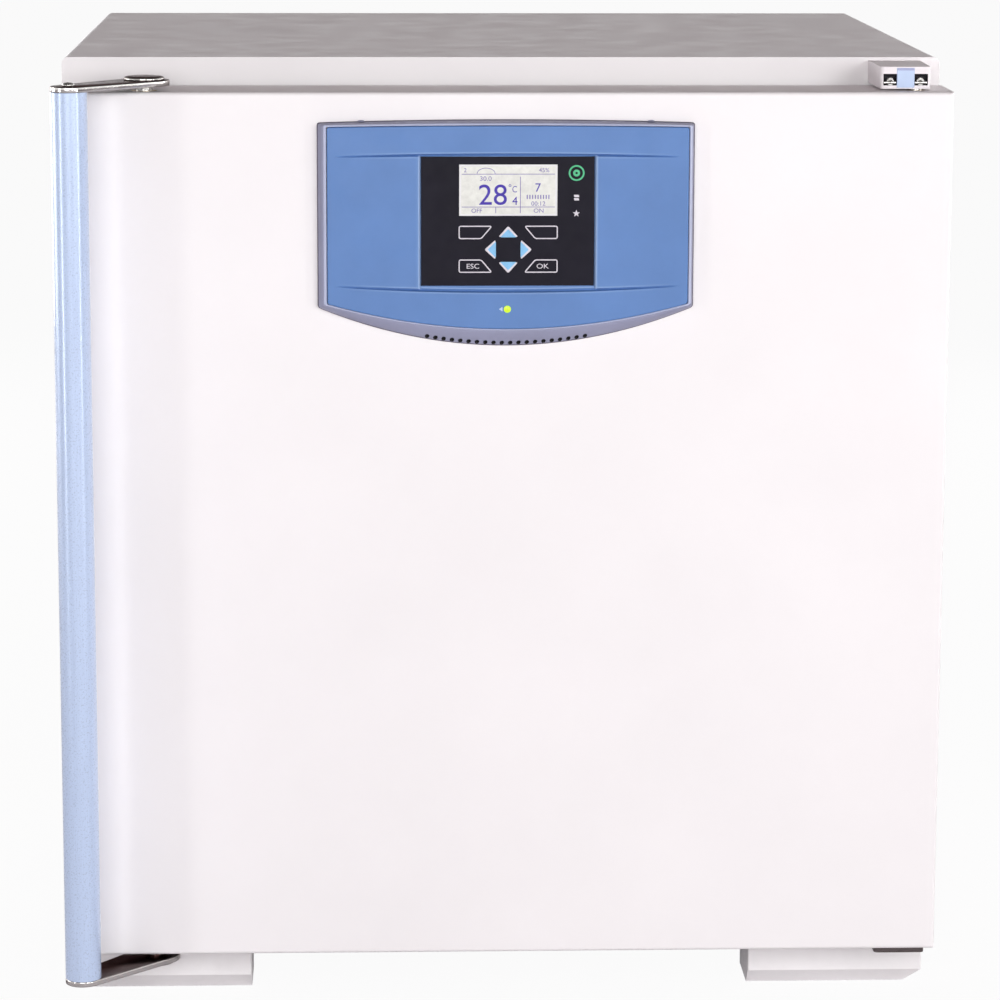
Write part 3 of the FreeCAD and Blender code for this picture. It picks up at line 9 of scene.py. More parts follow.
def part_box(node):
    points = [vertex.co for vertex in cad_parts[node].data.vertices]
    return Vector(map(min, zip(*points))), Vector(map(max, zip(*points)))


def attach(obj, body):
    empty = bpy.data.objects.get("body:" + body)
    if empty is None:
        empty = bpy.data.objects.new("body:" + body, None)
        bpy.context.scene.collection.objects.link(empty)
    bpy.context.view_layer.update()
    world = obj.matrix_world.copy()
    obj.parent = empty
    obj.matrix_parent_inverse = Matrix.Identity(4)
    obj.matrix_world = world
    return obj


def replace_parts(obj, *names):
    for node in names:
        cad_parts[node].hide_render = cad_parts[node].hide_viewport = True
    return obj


# Bench-top hot-air sterilizer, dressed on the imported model. Metres, +Z up, the door faces -Y.

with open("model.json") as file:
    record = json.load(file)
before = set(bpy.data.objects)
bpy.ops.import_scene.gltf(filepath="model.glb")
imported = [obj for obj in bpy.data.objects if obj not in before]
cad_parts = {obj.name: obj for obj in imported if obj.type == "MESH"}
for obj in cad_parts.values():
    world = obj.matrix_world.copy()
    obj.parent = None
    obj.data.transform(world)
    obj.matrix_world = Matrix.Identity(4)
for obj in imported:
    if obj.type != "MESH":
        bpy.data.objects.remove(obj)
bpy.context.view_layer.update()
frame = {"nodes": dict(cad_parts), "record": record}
nodes = frame["nodes"]


# Studio

def place_camera():
    """Camera in front of the cabinet, a little left of its middle and above its top, tilted down."""
    pan, tilt, roll = 0.0378, 0.1835, 0.0029
    ahead = Vector((math.sin(pan) * math.cos(tilt), math.cos(pan) * math.cos(tilt), -math.sin(tilt)))
    level = Vector((math.cos(pan), -math.sin(pan), 0.0))
    rise = level.cross(ahead)
    right = level * math.cos(roll) + rise * math.sin(roll)
    up = rise * math.cos(roll) - level * math.sin(roll)
    data = bpy.data.cameras.new("Camera")
    data.sensor_width = 36.0
    data.lens = 36.0 * 3.9128
    data.clip_start, data.clip_end = 0.1, 200.0
    camera = bpy.data.objects.new("Camera", data)
    turn = Matrix((right, up, -ahead)).transposed().to_4x4()
    camera.matrix_world = Matrix.Translation((-0.1055, -2.9646, 0.8765)) @ turn
    bpy.context.scene.collection.objects.link(camera)
    bpy.context.scene.camera = camera


def soft_lamp(name, azimuth, distance, height, size, watts):
    """Upright soft lamp on a circle round the cabinet, aimed at its middle; azimuth 0 is in front."""
    data = bpy.data.lights.new(name, "AREA")
    data.shape = "RECTANGLE"
    data.size, data.size_y = size
    data.energy = watts
    lamp = bpy.data.objects.new(name, data)
    angle = math.radians(azimuth)
    lamp.location = (distance * math.sin(angle), -distance * math.cos(angle), height)
    aim = Vector((0.0, 0.0, 0.36)) - lamp.location
    lamp.rotation_euler = aim.to_track_quat("-Z", "Y").to_euler()
    bpy.context.scene.collection.objects.link(lamp)


def walls_and_ceiling(tree, walls, ceiling):
    """Background of one colour up to eye height and another overhead, blended in between."""
    direction = tree.nodes.new("ShaderNodeTexCoord")
    split = tree.nodes.new("ShaderNodeSeparateXYZ")
    ramp = tree.nodes.new("ShaderNodeValToRGB")
    for element, position, colour in zip(ramp.color_ramp.elements, (0.25, 0.62), (walls, ceiling)):
        element.position, element.color = position, (*colour, 1.0)
    background = tree.nodes.new("ShaderNodeBackground")
    tree.links.new(direction.outputs["Generated"], split.inputs[0])
    tree.links.new(split.outputs["Z"], ramp.inputs["Fac"])
    tree.links.new(ramp.outputs["Color"], background.inputs["Color"])
    return background.outputs[0]


def light_room():
    """White room for the eye, white walls and a dark ceiling for reflections, a dim fill for the rest."""
    world = bpy.data.worlds.new("Studio")
    bpy.context.scene.world = world
    world.use_nodes = True
    tree = world.node_tree
    seen = walls_and_ceiling(tree, (0.32, 0.318, 0.324), (0.092, 0.048, 0.053))
    white = tree.nodes["Background"]
    white.inputs["Color"].default_value = (1.0, 1.0, 1.0, 1.0)
    white.inputs["Strength"].default_value = 1.0
    reflected = walls_and_ceiling(tree, (1.0, 1.0, 1.0), (0.10, 0.09, 0.09))
    path = tree.nodes.new("ShaderNodeLightPath")
    for ray, shown in (("Is Glossy Ray", reflected), ("Is Transmission Ray", white.outputs[0]),
                       ("Is Camera Ray", white.outputs[0])):
        mix = tree.nodes.new("ShaderNodeMixShader")
        tree.links.new(path.outputs[ray], mix.inputs[0])
        tree.links.new(seen, mix.inputs[1])
        tree.links.new(shown, mix.inputs[2])
        seen = mix.outputs[0]
    tree.links.new(seen, tree.nodes["World Output"].inputs["Surface"])
    soft_lamp("Lamp_front_left", -8, 3.4, 1.15, (1.5, 1.2), 33.0)
    soft_lamp("Lamp_front_right", 28, 3.3, 1.15, (1.5, 1.2), 34.0)
    soft_lamp("Lamp_strip_left", -52, 2.6, 0.42, (0.20, 0.8), 6.0)
    soft_lamp("Lamp_strip_right", 50, 2.6, 0.42, (0.20, 0.8), 6.0)
    soft_lamp("Lamp_side_left", -98, 3.0, 0.60, (1.2, 1.0), 20.0)
    soft_lamp("Lamp_side_right", 98, 3.0, 0.60, (1.2, 1.0), 20.0)
    soft_lamp("Lamp_rear_left", -140, 2.9, 0.70, (1.6, 1.2), 30.0)
    soft_lamp("Lamp_rear_right", 140, 2.9, 0.70, (1.6, 1.2), 30.0)


def lay_floor():
    """Pale matt floor, mostly white to the eye, that still takes the cabinet's shadow."""
    reach = 40.0
    mesh = bpy.data.meshes.new("Floor")
    corners = [(-reach, -reach, 0.0), (reach, -reach, 0.0), (reach, reach, 0.0), (-reach, reach, 0.0)]
    mesh.from_pydata(corners, [], [(0, 1, 2, 3)])
    floor = bpy.data.objects.new("Floor", mesh)
    bpy.context.scene.collection.objects.link(floor)
    paint = bpy.data.materials.new("floor_white")
    paint.use_nodes = True
    tree = paint.node_tree
    shader = tree.nodes["Principled BSDF"]
    shader.inputs["Base Color"].default_value = (0.72, 0.70, 0.715, 1.0)
    shader.inputs["Roughness"].default_value = 0.9
    shader.inputs["Specular IOR Level"].default_value = 0.1
    glow = tree.nodes.new("ShaderNodeEmission")
    glow.inputs["Color"].default_value = (1.0, 1.0, 1.0, 1.0)
    glow.inputs["Strength"].default_value = 1.0
    path = tree.nodes.new("ShaderNodeLightPath")
    share = tree.nodes.new("ShaderNodeMath")
    share.operation = "MULTIPLY"
    share.inputs[1].default_value = 0.95
    tree.links.new(path.outputs["Is Camera Ray"], share.inputs[0])
    mix = tree.nodes.new("ShaderNodeMixShader")
    tree.links.new(share.outputs[0], mix.inputs[0])
    tree.links.new(shader.outputs[0], mix.inputs[1])
    tree.links.new(glow.outputs[0], mix.inputs[2])
    tree.links.new(mix.outputs[0], tree.nodes["Material Output"].inputs["Surface"])
    mesh.materials.append(paint)


# Finishes. Every pattern reads Object coordinates, which are metres in the part's frame.

class Finish:
    """One procedural material under construction, with its shader and its pattern coordinates."""

    def __init__(self, name):
        self.material = bpy.data.materials.new(name)
        self.material.use_nodes = True
        self.tree = self.material.node_tree
        self.shader = self.tree.nodes["Principled BSDF"]
        self.where = self.tree.nodes.new("ShaderNodeTexCoord").outputs["Object"]
        self.normal = None

    def put(self, **values):
        """Plain numbers and colours straight onto the shader's sockets."""
        for socket, value in values.items():
            name = {"sheen": "Sheen Weight", "coat": "Coat Weight", "coat_rough": "Coat Roughness",
                    "metal": "Metallic", "rough": "Roughness", "colour": "Base Color", "ior": "IOR",
                    "shine": "Specular IOR Level", "edge": "Specular Tint", "glow": "Emission Strength",
                    "glow_colour": "Emission Color", "through": "Transmission Weight",
                    "soft": "Subsurface Weight", "soft_depth": "Subsurface Scale"}[socket]
            self.shader.inputs[name].default_value = value
        return self

    def stretched(self, stretch):
        """Object coordinates scaled by a different amount along each axis."""
        mapping = self.tree.nodes.new("ShaderNodeMapping")
        mapping.inputs["Scale"].default_value = stretch
        self.tree.links.new(self.where, mapping.inputs["Vector"])
        return mapping.outputs["Vector"]

    def noise(self, stretch, detail=3.0, coarse=0.5):
        """Cloudy pattern; stretch is its number of spots per metre along X, Y and Z."""
        node = self.tree.nodes.new("ShaderNodeTexNoise")
        node.inputs["Scale"].default_value = 1.0
        node.inputs["Detail"].default_value = detail
        node.inputs["Roughness"].default_value = coarse
        self.tree.links.new(self.stretched(stretch), node.inputs["Vector"])
        return node.outputs["Fac"]

    def cells(self, stretch, output="Distance"):
        """Crystal pattern; stretch is its number of cells per metre along X, Y and Z."""
        node = self.tree.nodes.new("ShaderNodeTexVoronoi")
        node.inputs["Scale"].default_value = 1.0
        self.tree.links.new(self.stretched(stretch), node.inputs["Vector"])
        return node.outputs[output]

    def between(self, pattern, low, high, start=0.35, end=0.65):
        """A pattern's part from start to end, spread over a range of values."""
        node = self.tree.nodes.new("ShaderNodeMapRange")
        for name, value in (("From Min", start), ("From Max", end), ("To Min", low), ("To Max", high)):
            node.inputs[name].default_value = value
        self.tree.links.new(pattern, node.inputs["Value"])
        return node.outputs["Result"]

    def tint(self, pattern, dark, light, start=0.3, end=0.7):
        """Base colour that follows a pattern from one colour to another."""
        ramp = self.tree.nodes.new("ShaderNodeValToRGB")
        ramp.color_ramp.elements[0].position = start
        ramp.color_ramp.elements[1].position = end
        ramp.color_ramp.elements[0].color = (*dark, 1.0)
        ramp.color_ramp.elements[1].color = (*light, 1.0)
        self.tree.links.new(pattern, ramp.inputs["Fac"])
        self.tree.links.new(ramp.outputs["Color"], self.shader.inputs["Base Color"])
        return self

    def lighten(self, attribute, colour):
        """Base colour that turns to another where an attribute of the mesh rises from 0 to 1."""
        reader = self.tree.nodes.new("ShaderNodeAttribute")
        reader.attribute_name = attribute
        mix = self.tree.nodes.new("ShaderNodeMix")
        mix.data_type = "RGBA"
        socket = self.shader.inputs["Base Color"]
        self.tree.links.new(socket.links[0].from_socket, mix.inputs["A"])
        mix.inputs["B"].default_value = (*colour, 1.0)
        self.tree.links.new(reader.outputs["Fac"], mix.inputs["Factor"])
        self.tree.links.new(mix.outputs["Result"], socket)
        return self

    def gloss(self, pattern, low, high):
        """Roughness that follows a pattern."""
        self.tree.links.new(self.between(pattern, low, high), self.shader.inputs["Roughness"])
        return self

    def relief(self, pattern, depth, strength=1.0):
        """Height pattern of a given depth in metres, added to any relief before it."""
        bump = self.tree.nodes.new("ShaderNodeBump")
        bump.inputs["Strength"].default_value = strength
        bump.inputs["Distance"].default_value = depth
        self.tree.links.new(pattern, bump.inputs["Height"])
        if self.normal is not None:
            self.tree.links.new(self.normal, bump.inputs["Normal"])
        self.normal = bump.outputs["Normal"]
        self.tree.links.new(self.normal, self.shader.inputs["Normal"])
        return self


def srgb(red, green, blue):
    """Colour from 0 to 255 as the eye reads it, turned into the linear values that a shader takes."""
    parts = [value / 255.0 for value in (red, green, blue)]
    return tuple(p / 12.92 if p <= 0.04045 else ((p + 0.055) / 1.055) ** 2.4 for p in parts)


def shaded(colour, factor):
    """The same colour, darker or lighter."""
    return tuple(min(1.0, part * factor) for part in colour)


def powder_coat(name, colour, rough=0.40, orange_peel=6.0e-5):
    """Sprayed and baked paint: faint cloudiness in tone and gloss, orange-peel relief and fine grain."""
    finish = Finish(name).put(shine=0.45, ior=1.5)
    finish.tint(finish.noise((7, 7, 7), 4.0), shaded(colour, 0.975), shaded(colour, 1.01))
    finish.gloss(finish.noise((35, 35, 35), 4.0, 0.6), rough - 0.04, rough + 0.07)
    finish.relief(finish.noise((520, 520, 520), 2.0), orange_peel, 0.35)
    return finish.relief(finish.noise((2600, 2600, 2600), 1.0), 2.0e-5, 0.25)


def moulded(name, colour, rough=0.5, grain=1.0, pit=4.0e-5):
    """Moulded plastic: fine spark-eroded grain, slight flow marks in tone, a little wear in the gloss."""
    finish = Finish(name).put(ior=1.49)
    finish.tint(finish.noise((22, 22, 22), 5.0, 0.6), shaded(colour, 0.93), shaded(colour, 1.04))
    finish.gloss(finish.noise((60, 60, 60), 5.0, 0.65), rough - 0.07, rough + 0.09)
    finish.relief(finish.cells((1500 * grain, 1500 * grain, 1500 * grain)), pit, 0.45)
    return finish.relief(finish.noise((300, 300, 300), 3.0), 3.0e-5, 0.2)


def brushed_sheet(name, colour, along, rough=0.32):
    """Brushed stainless sheet: long fine scratches along one axis, smudged gloss and faint rolling waves."""
    stretch = [1400.0, 1400.0, 1400.0]
    stretch["XYZ".index(along)] = 9.0
    finish = Finish(name).put(metal=1.0)
    lines = finish.noise(stretch, 3.0, 0.7)
    finish.tint(lines, shaded(colour, 0.86), shaded(colour, 1.08))
    finish.gloss(finish.noise((7, 7, 7), 2.0, 0.5), rough - 0.02, rough + 0.06)
    finish.relief(lines, 1.0e-5, 0.4)
    return finish.relief(finish.noise((5, 5, 5), 1.0), 2.0e-4, 0.06)


def turned_metal(name, colour, rough=0.2, metal=1.0):
    """Machined and polished metal: fine tool lines, small scratches and finger smudges."""
    finish = Finish(name).put(metal=metal)
    finish.tint(finish.noise((90, 90, 90), 5.0, 0.65), shaded(colour, 0.82), shaded(colour, 1.1))
    finish.gloss(finish.noise((140, 140, 140), 5.0, 0.7), rough - 0.06, rough + 0.10)
    finish.relief(finish.noise((250, 250, 4200), 2.0, 0.7), 8.0e-6, 0.35)
    return finish.relief(finish.noise((700, 90, 700), 4.0, 0.8), 8.0e-6, 0.25)


def zinc_sheet(name):
    """Galvanised sheet: crystals of different grey, each with its own gloss, and dull handling marks."""
    finish = Finish(name).put(metal=0.9)
    flakes = finish.cells((190, 190, 190), "Color")
    finish.tint(flakes, (0.42, 0.43, 0.445), (0.53, 0.54, 0.555), 0.1, 0.9)
    finish.gloss(flakes, 0.50, 0.66)
    finish.relief(flakes, 2.0e-5, 0.3)
    return finish.relief(finish.noise((40, 40, 40), 5.0, 0.6), 1.0e-4, 0.15)


def mineral_wool(name):
    """Pressed fibre slab: tangled strands in straw and brown, deep soft relief."""
    finish = Finish(name).put(sheen=0.3, rough=0.95, shine=0.1)
    strands = finish.noise((190, 190, 900), 8.0, 0.75)
    finish.tint(strands, (0.20, 0.155, 0.09), (0.52, 0.44, 0.29))
    finish.relief(strands, 8.0e-4, 0.7)
    return finish.relief(finish.noise((1300, 400, 400), 5.0, 0.7), 4.0e-4, 0.6)


def circuit_board(name):
    """Lacquered board: woven glass under green lacquer, with paler tracks in a square pattern."""
    finish = Finish(name).put(coat=0.4, coat_rough=0.15, rough=0.4)
    finish.tint(finish.cells((260, 260, 260), "Color"), (0.010, 0.065, 0.030), (0.030, 0.16, 0.07))
    finish.relief(finish.noise((900, 900, 900), 2.0), 2.0e-5, 0.4)
    return finish


def scaled_steel(name):
    """Heating element's tube: dark oxide with straw and blue bands where it has been hot."""
    finish = Finish(name).put(metal=0.8)
    bloom = finish.noise((30, 30, 30), 6.0, 0.6)
    finish.tint(bloom, (0.055, 0.045, 0.05), (0.17, 0.13, 0.105))
    finish.gloss(bloom, 0.42, 0.62)
    return finish.relief(finish.noise((1500, 1500, 1500), 3.0), 3.0e-5, 0.5)


WHITE_PAINT = srgb(249, 246, 247)
BAR_BLUE = srgb(199, 217, 247)
PANEL_BLUE = srgb(92, 132, 192)
RIM_GREY = srgb(148, 150, 176)
FOIL_BLACK = srgb(22, 20, 32)
DARK_STEEL = (0.20, 0.178, 0.175)
DARK_EDGE = (0.22, 0.19, 0.19, 1.0)


def slot_finishes():
    """One finish for each material slot of the record."""
    bar = Finish("handle_blue").put(coat=0.5, coat_rough=0.12, metal=0.15)
    drawn = bar.noise((2600, 2600, 30), 3.0, 0.6)
    bar.tint(drawn, shaded(BAR_BLUE, 0.94), shaded(BAR_BLUE, 1.04))
    bar.gloss(bar.noise((900, 900, 900), 3.0, 0.6), 0.26, 0.33)
    bar.relief(drawn, 6.0e-6, 0.3)

    foil = Finish("keypad_black").put(shine=0.15)
    foil.tint(foil.noise((40, 40, 40), 4.0), shaded(FOIL_BLACK, 0.9), shaded(FOIL_BLACK, 1.15))
    foil.gloss(foil.noise((120, 120, 120), 4.0), 0.46, 0.58)
    foil.relief(foil.cells((2600, 2600, 2600)), 1.5e-5, 0.5)

    screen = Finish("display").put(coat=0.3, coat_rough=0.1, rough=0.35, glow=0.06,
                                   glow_colour=(0.90, 0.92, 0.86, 1.0))
    screen.tint(screen.noise((30, 30, 30), 2.0), srgb(224, 224, 227), srgb(236, 236, 237))
    screen.relief(screen.cells((3300, 3300, 3300)), 6.0e-6, 0.3)

    lamp = Finish("light_green").put(rough=0.25, glow=0.5, glow_colour=(0.45, 0.80, 0.03, 1.0), soft=0.2,
                                     soft_depth=0.002)
    lamp.tint(lamp.noise((900, 900, 900), 2.0), srgb(170, 205, 30), srgb(215, 238, 60))
    lamp.relief(lamp.noise((2500, 2500, 2500), 2.0), 1.0e-5, 0.3)

    rubber = Finish("silicone").put(soft=0.15, soft_depth=0.004, shine=0.35)
    rubber.tint(rubber.noise((60, 60, 60), 5.0), (0.50, 0.49, 0.47), (0.62, 0.61, 0.58))
    rubber.gloss(rubber.noise((200, 200, 200), 4.0), 0.50, 0.70)
    rubber.relief(rubber.noise((900, 900, 900), 3.0), 4.0e-5, 0.4)

    return {
        "casing_white": powder_coat("casing_white", WHITE_PAINT),
        "foot_white": moulded("foot_white", srgb(251, 248, 249), 0.5, 1.0, 3.0e-5),
        "sheet_zinc": zinc_sheet("sheet_zinc"),
        "stainless": brushed_sheet("stainless", (0.61, 0.605, 0.60), "X"),
        "polished_steel": turned_metal("polished_steel", DARK_STEEL, 0.16).put(edge=DARK_EDGE),
        "hinge_white": powder_coat("hinge_white", srgb(246, 240, 243), 0.42, 4.0e-5),
        "handle_blue": bar,
        "insert_blue": moulded("insert_blue", srgb(196, 214, 244), 0.42, 1.4, 1.5e-5),
        "rim_grey": moulded("rim_grey", RIM_GREY, 0.46, 1.2, 3.0e-5),
        "fascia_blue": moulded("fascia_blue", PANEL_BLUE, 0.44, 1.2, 2.5e-5),
        "keypad_black": foil,
        "display": screen,
        "light_green": lamp,
        "silicone": rubber,
        "wool": mineral_wool("wool"),
        "screw_steel": turned_metal("screw_steel", (0.55, 0.54, 0.52), 0.26),
        "bush_brass": turned_metal("bush_brass", (0.62, 0.44, 0.17), 0.3),
        "plastic_black": moulded("plastic_black", srgb(38, 38, 40), 0.5),
        "board_green": circuit_board("board_green"),
        "heater_steel": scaled_steel("heater_steel"),
        "motor_grey": powder_coat("motor_grey", srgb(92, 96, 100), 0.5),
    }


def dress_nodes(finishes):
    """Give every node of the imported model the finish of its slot."""
    for part in frame["record"]["subparts"]:
        for place in nodes[part["node"]].material_slots:
            place.material = finishes[part["material_slot"]].material


bpy.context.scene.view_settings.view_transform = "Standard"
place_camera()
light_room()
lay_floor()
finishes = slot_finishes()
dress_nodes(finishes)


# Making of new pieces. A surface is a grid of places in metres, worked out as whole arrays.

MM = 0.001


def piece(name, places, faces, finish, body, smooth=True):
    """Mesh piece at the origin from places and faces, painted, and riding on its body."""
    mesh = bpy.data.meshes.new(name)
    mesh.from_pydata(np.asarray(places, float).reshape(-1, 3).tolist(), [], faces)
    mesh.polygons.foreach_set("use_smooth", np.full(len(mesh.polygons), smooth))
    mesh.materials.append(finish.material)
    made = bpy.data.objects.new(name, mesh)
    bpy.context.scene.collection.objects.link(made)
    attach(made, body)
    return made


def grid_faces(rows, columns, closed=False, first=0):
    """Four-cornered faces between neighbours of a grid; closed joins the last column to the first."""
    wide = columns if closed else columns - 1
    row, column = (part.ravel() for part in np.mgrid[0:rows - 1, 0:wide])
    after = (column + 1) % columns
    corners = (row * columns + column, (row + 1) * columns + column,
               (row + 1) * columns + after, row * columns + after)
    return first + np.stack(corners, 1)


def sheet(name, places, finish, body, closed=False):
    """Smooth surface from one grid of places, rows by columns."""
    rows, columns = places.shape[:2]
    return piece(name, places, grid_faces(rows, columns, closed).tolist(), finish, body)


def sheets(name, grids, finish, body, closed=False):
    """One piece made of several equal grids, such as a row of small parts."""
    grids = np.asarray(grids)
    count, rows, columns = grids.shape[:3]
    faces = [grid_faces(rows, columns, closed, index * rows * columns) for index in range(count)]
    return piece(name, grids, np.concatenate(faces).tolist(), finish, body)


def mark(made, attribute, values):
    """Number from 0 to 1 at each place of a piece, for a finish to read."""
    layer = made.data.attributes.new(attribute, "FLOAT", "POINT")
    layer.data.foreach_set("value", np.asarray(values, float).ravel())
    return made


# Control panel. Its places are millimetres: right of the door's middle, out of the door's face and
# below the door's top.

DOOR_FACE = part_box("door_shell")[0][1]
DOOR_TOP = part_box("door_shell")[1][2]


def on_panel(right, out, below):
    """Places on the panel turned into places in the frame."""
    right, out, below = np.broadcast_arrays(right, out, below)
    return np.stack((right * MM, DOOR_FACE - out * MM, DOOR_TOP - below * MM), -1)


class Shield:
    """Outline with upright sides, an arched top and a sagging bottom.

    The top lies at top + arch * q * q and the bottom at foot + sag * (1 - q * q), where q runs from
    -1 to 1 across the width.
    """

    def __init__(self, left, right, top, arch, foot, sag):
        self.left, self.right, self.top, self.arch, self.foot, self.sag = left, right, top, arch, foot, sag

    def edge(self, side, share):
        """Places along one side: 0 top, 1 right, 2 bottom, 3 left, clockwise from the upper left."""
        across = np.where(side == 0, share, 1.0 - share)
        across = np.where(side == 1, 1.0, np.where(side == 3, 0.0, across))
        q = 2.0 * across - 1.0
        high = self.top + self.arch * q * q
        low = self.foot + self.sag * (1.0 - q * q)
        down = np.where(side == 0, 0.0, np.where(side == 2, 1.0, np.where(side == 1, share, 1.0 - share)))
        return np.stack((self.left + (self.right - self.left) * across, high + (low - high) * down), -1)


RIM_OUTER = Shield(-130.5, 130.5, 18.5, 2.1, 149.0, 26.8)
RIM_BODY = Shield(-129.7, 129.7, 19.2, 2.1, 148.6, 26.3)
RIM_CREST = Shield(-126.0, 128.4, 20.7, 1.2, 146.2, 17.9)
RIM_INNER = Shield(-124.1, 126.5, 21.9, 1.1, 145.8, 17.7)
FASCIA_EDGE = Shield(-123.6, 126.0, 22.3, 1.1, 145.5, 17.5)
RIM_WALL, RIM_BREAK, RIM_PROUD, FASCIA_PROUD = 3.0, 8.2, 9.0, 10.0
VENT_COUNT, VENT_PITCH, VENT_RADIUS, VENT_INSET, VENT_DEPTH = 20, 5.8, 1.55, 1.6, 2.5
CLIP_RIGHT, CLIP_HALF_WIDTH = 100.0, 2.6


def rounded(outline, side, share, reach):
    """Outline places, with each corner drawn as a parabola from reach before it to reach after it.

    There place = tip + (1 - k)^2 * back + k^2 * ahead, with k from 0 to 1 round the corner.
    """
    place = outline.edge(side, share)
    lengths = (outline.right - outline.left, outline.foot - outline.top) * 2
    for first in range(4):
        second = (first + 1) % 4
        bend = reach / lengths[first], reach / lengths[second]
        tip = outline.edge(first, 1.0)
        back = outline.edge(first, 1.0 - bend[0]) - tip
        ahead = outline.edge(second, bend[1]) - tip
        ending = (side == first) & (share > 1.0 - bend[0])
        starting = (side == second) & (share < bend[1])
        k = np.where(ending, 0.5 * (share - 1.0 + bend[0]) / bend[0], 0.5 + 0.5 * share / bend[1])
        curve = tip + (1.0 - k[..., None]) ** 2 * back + k[..., None] ** 2 * ahead
        place = np.where((ending | starting)[..., None], curve, place)
    return place


def rim_place(side, share, across):
    """Convex flank of the rim, from its wall (across 0) to its crest (across 1).

    Places go in proportion from one outline to the other; height is a power of a quarter sine.
    """
    outer, crest = rounded(RIM_BODY, side, share, 2.0), rounded(RIM_CREST, side, share, 1.5)
    swell = np.sin(0.5 * math.pi * across) ** 0.8
    return outer + (crest - outer) * across[..., None], RIM_WALL + (RIM_BREAK - RIM_WALL) * swell


def rim_band(name, bands, finish, side, share):
    """Closed band round the rim through outlines at given heights: (outline, corner reach, height)."""
    rings = [rounded(outline, side, share, reach) for outline, reach, height in bands]
    places = [on_panel(ring[:, 0], band[2], ring[:, 1]) for ring, band in zip(rings, bands)]
    return sheet(name, np.array(places), finish, "door", closed=True)


def vent_places():
    """Share along the rim's bottom side and share up its flank of each vent, with the sizes of both."""
    right = (np.arange(VENT_COUNT) - 0.5 * (VENT_COUNT - 1)) * VENT_PITCH
    length = RIM_BODY.right - RIM_BODY.left
    share = (RIM_BODY.right - right) / length
    q = 2.0 * share - 1.0
    width = (RIM_BODY.foot - RIM_CREST.foot) + (RIM_BODY.sag - RIM_CREST.sag) * (1.0 - q * q)
    return share, VENT_INSET / width, length, width


def panel_rim(finish, crest_highlight_finish, shade_line_finish, dark):
    """Grey rim of the panel with its row of vents, a crest painted paler as a highlight, and a dark band painted as
    the shadow line between it and the door.

    Grid places inside a vent's circle are moved out to it, and the faces between such places are left
    out. Each vent has a cup behind it: a ring on the flank, the same ring deeper, and a closed floor, all in a dark
    finish that paints the shade inside the hole.
    """
    coarse = np.concatenate((np.linspace(0.0, 0.04, 9), np.linspace(0.05, 0.95, 46),
                             np.linspace(0.96, 0.996, 8)))
    fine = np.concatenate((np.linspace(0.0, 0.04, 9), np.linspace(0.06, 0.26, 12),
                           np.linspace(0.272, 0.728, 300), np.linspace(0.74, 0.94, 12),
                           np.linspace(0.96, 0.996, 8)))
    share = np.concatenate((coarse, coarse, fine, coarse))
    side = np.repeat((0, 1, 2, 3), (len(coarse), len(coarse), len(fine), len(coarse)))
    across = np.concatenate((np.linspace(0.0, 0.42, 21), np.linspace(0.46, 1.0, 14)))
    run = (side, share)
    across, share = np.meshgrid(across, share, indexing="ij")
    side = np.broadcast_to(side, share.shape)
    inside = np.zeros(share.shape, bool)
    for vent, flank, length, width in zip(*np.broadcast_arrays(*vent_places())):
        along, up = (share - vent) * length, (across - flank) * width
        distance = np.hypot(along, up)
        hit = (side == 2) & (distance < VENT_RADIUS)
        grow = np.where(hit, VENT_RADIUS / np.maximum(distance, 1.0e-6), 1.0)
        share = np.where(hit, vent + along * grow / length, share)
        across = np.where(hit, flank + up * grow / width, across)
        inside |= hit
    flat, height = rim_place(side, share, across)
    low = [on_panel(flat[0, :, 0], level, flat[0, :, 1]) for level in (0.0, 0.5 * RIM_WALL, RIM_WALL - 0.3)]
    places = np.concatenate((low, on_panel(flat[..., 0], height, flat[..., 1])))
    inside = np.pad(inside, ((len(low), 0), (0, 0)))
    faces = grid_faces(*places.shape[:2], closed=True)
    faces = faces[~inside.ravel()[faces].all(1)]
    rim = piece("panel_rim_shell", places, faces.tolist(), finish, "door")
    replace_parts(rim, "panel_rim")
    half_way = Shield(-125.1, 127.5, 21.3, 1.15, 146.0, 17.8)
    # Crest band in a paler grey: a painted highlight along the rim's inner edge.
    rim_band("panel_rim_crest", ((RIM_CREST, 1.5, RIM_BREAK), (half_way, 1.4, RIM_PROUD - 0.15),
                                 (RIM_INNER, 1.3, RIM_PROUD), (RIM_INNER, 1.3, RIM_PROUD - 3.5)),
             crest_highlight_finish, *run)
    # Dark band round the rim's foot: painted shadow where the rim meets the door.
    rim_band("panel_rim_shade_line", ((RIM_OUTER, 2.2, 0.0), (RIM_OUTER, 2.2, 0.7), (RIM_BODY, 2.0, 1.3)),
             shade_line_finish, *run)

    # Cups behind the vents take the dark finish, painted shade inside the holes.
    turn = np.linspace(0.0, 2.0 * math.pi, 20, endpoint=False)
    cups = []
    for vent, flank, length, width in zip(*np.broadcast_arrays(*vent_places())):
        edge, rise = rim_place(np.full(turn.shape, 2), vent + VENT_RADIUS * np.cos(turn) / length,
                               flank - VENT_RADIUS * np.sin(turn) / width)
        rings = [on_panel(edge[:, 0], rise - deeper, edge[:, 1]) for deeper in (0.0, VENT_DEPTH)]
        cups.append(rings + [np.broadcast_to(rings[-1].mean(0), rings[-1].shape)])
    sheets("panel_rim_vent_cups", cups, dark, "door", closed=True)


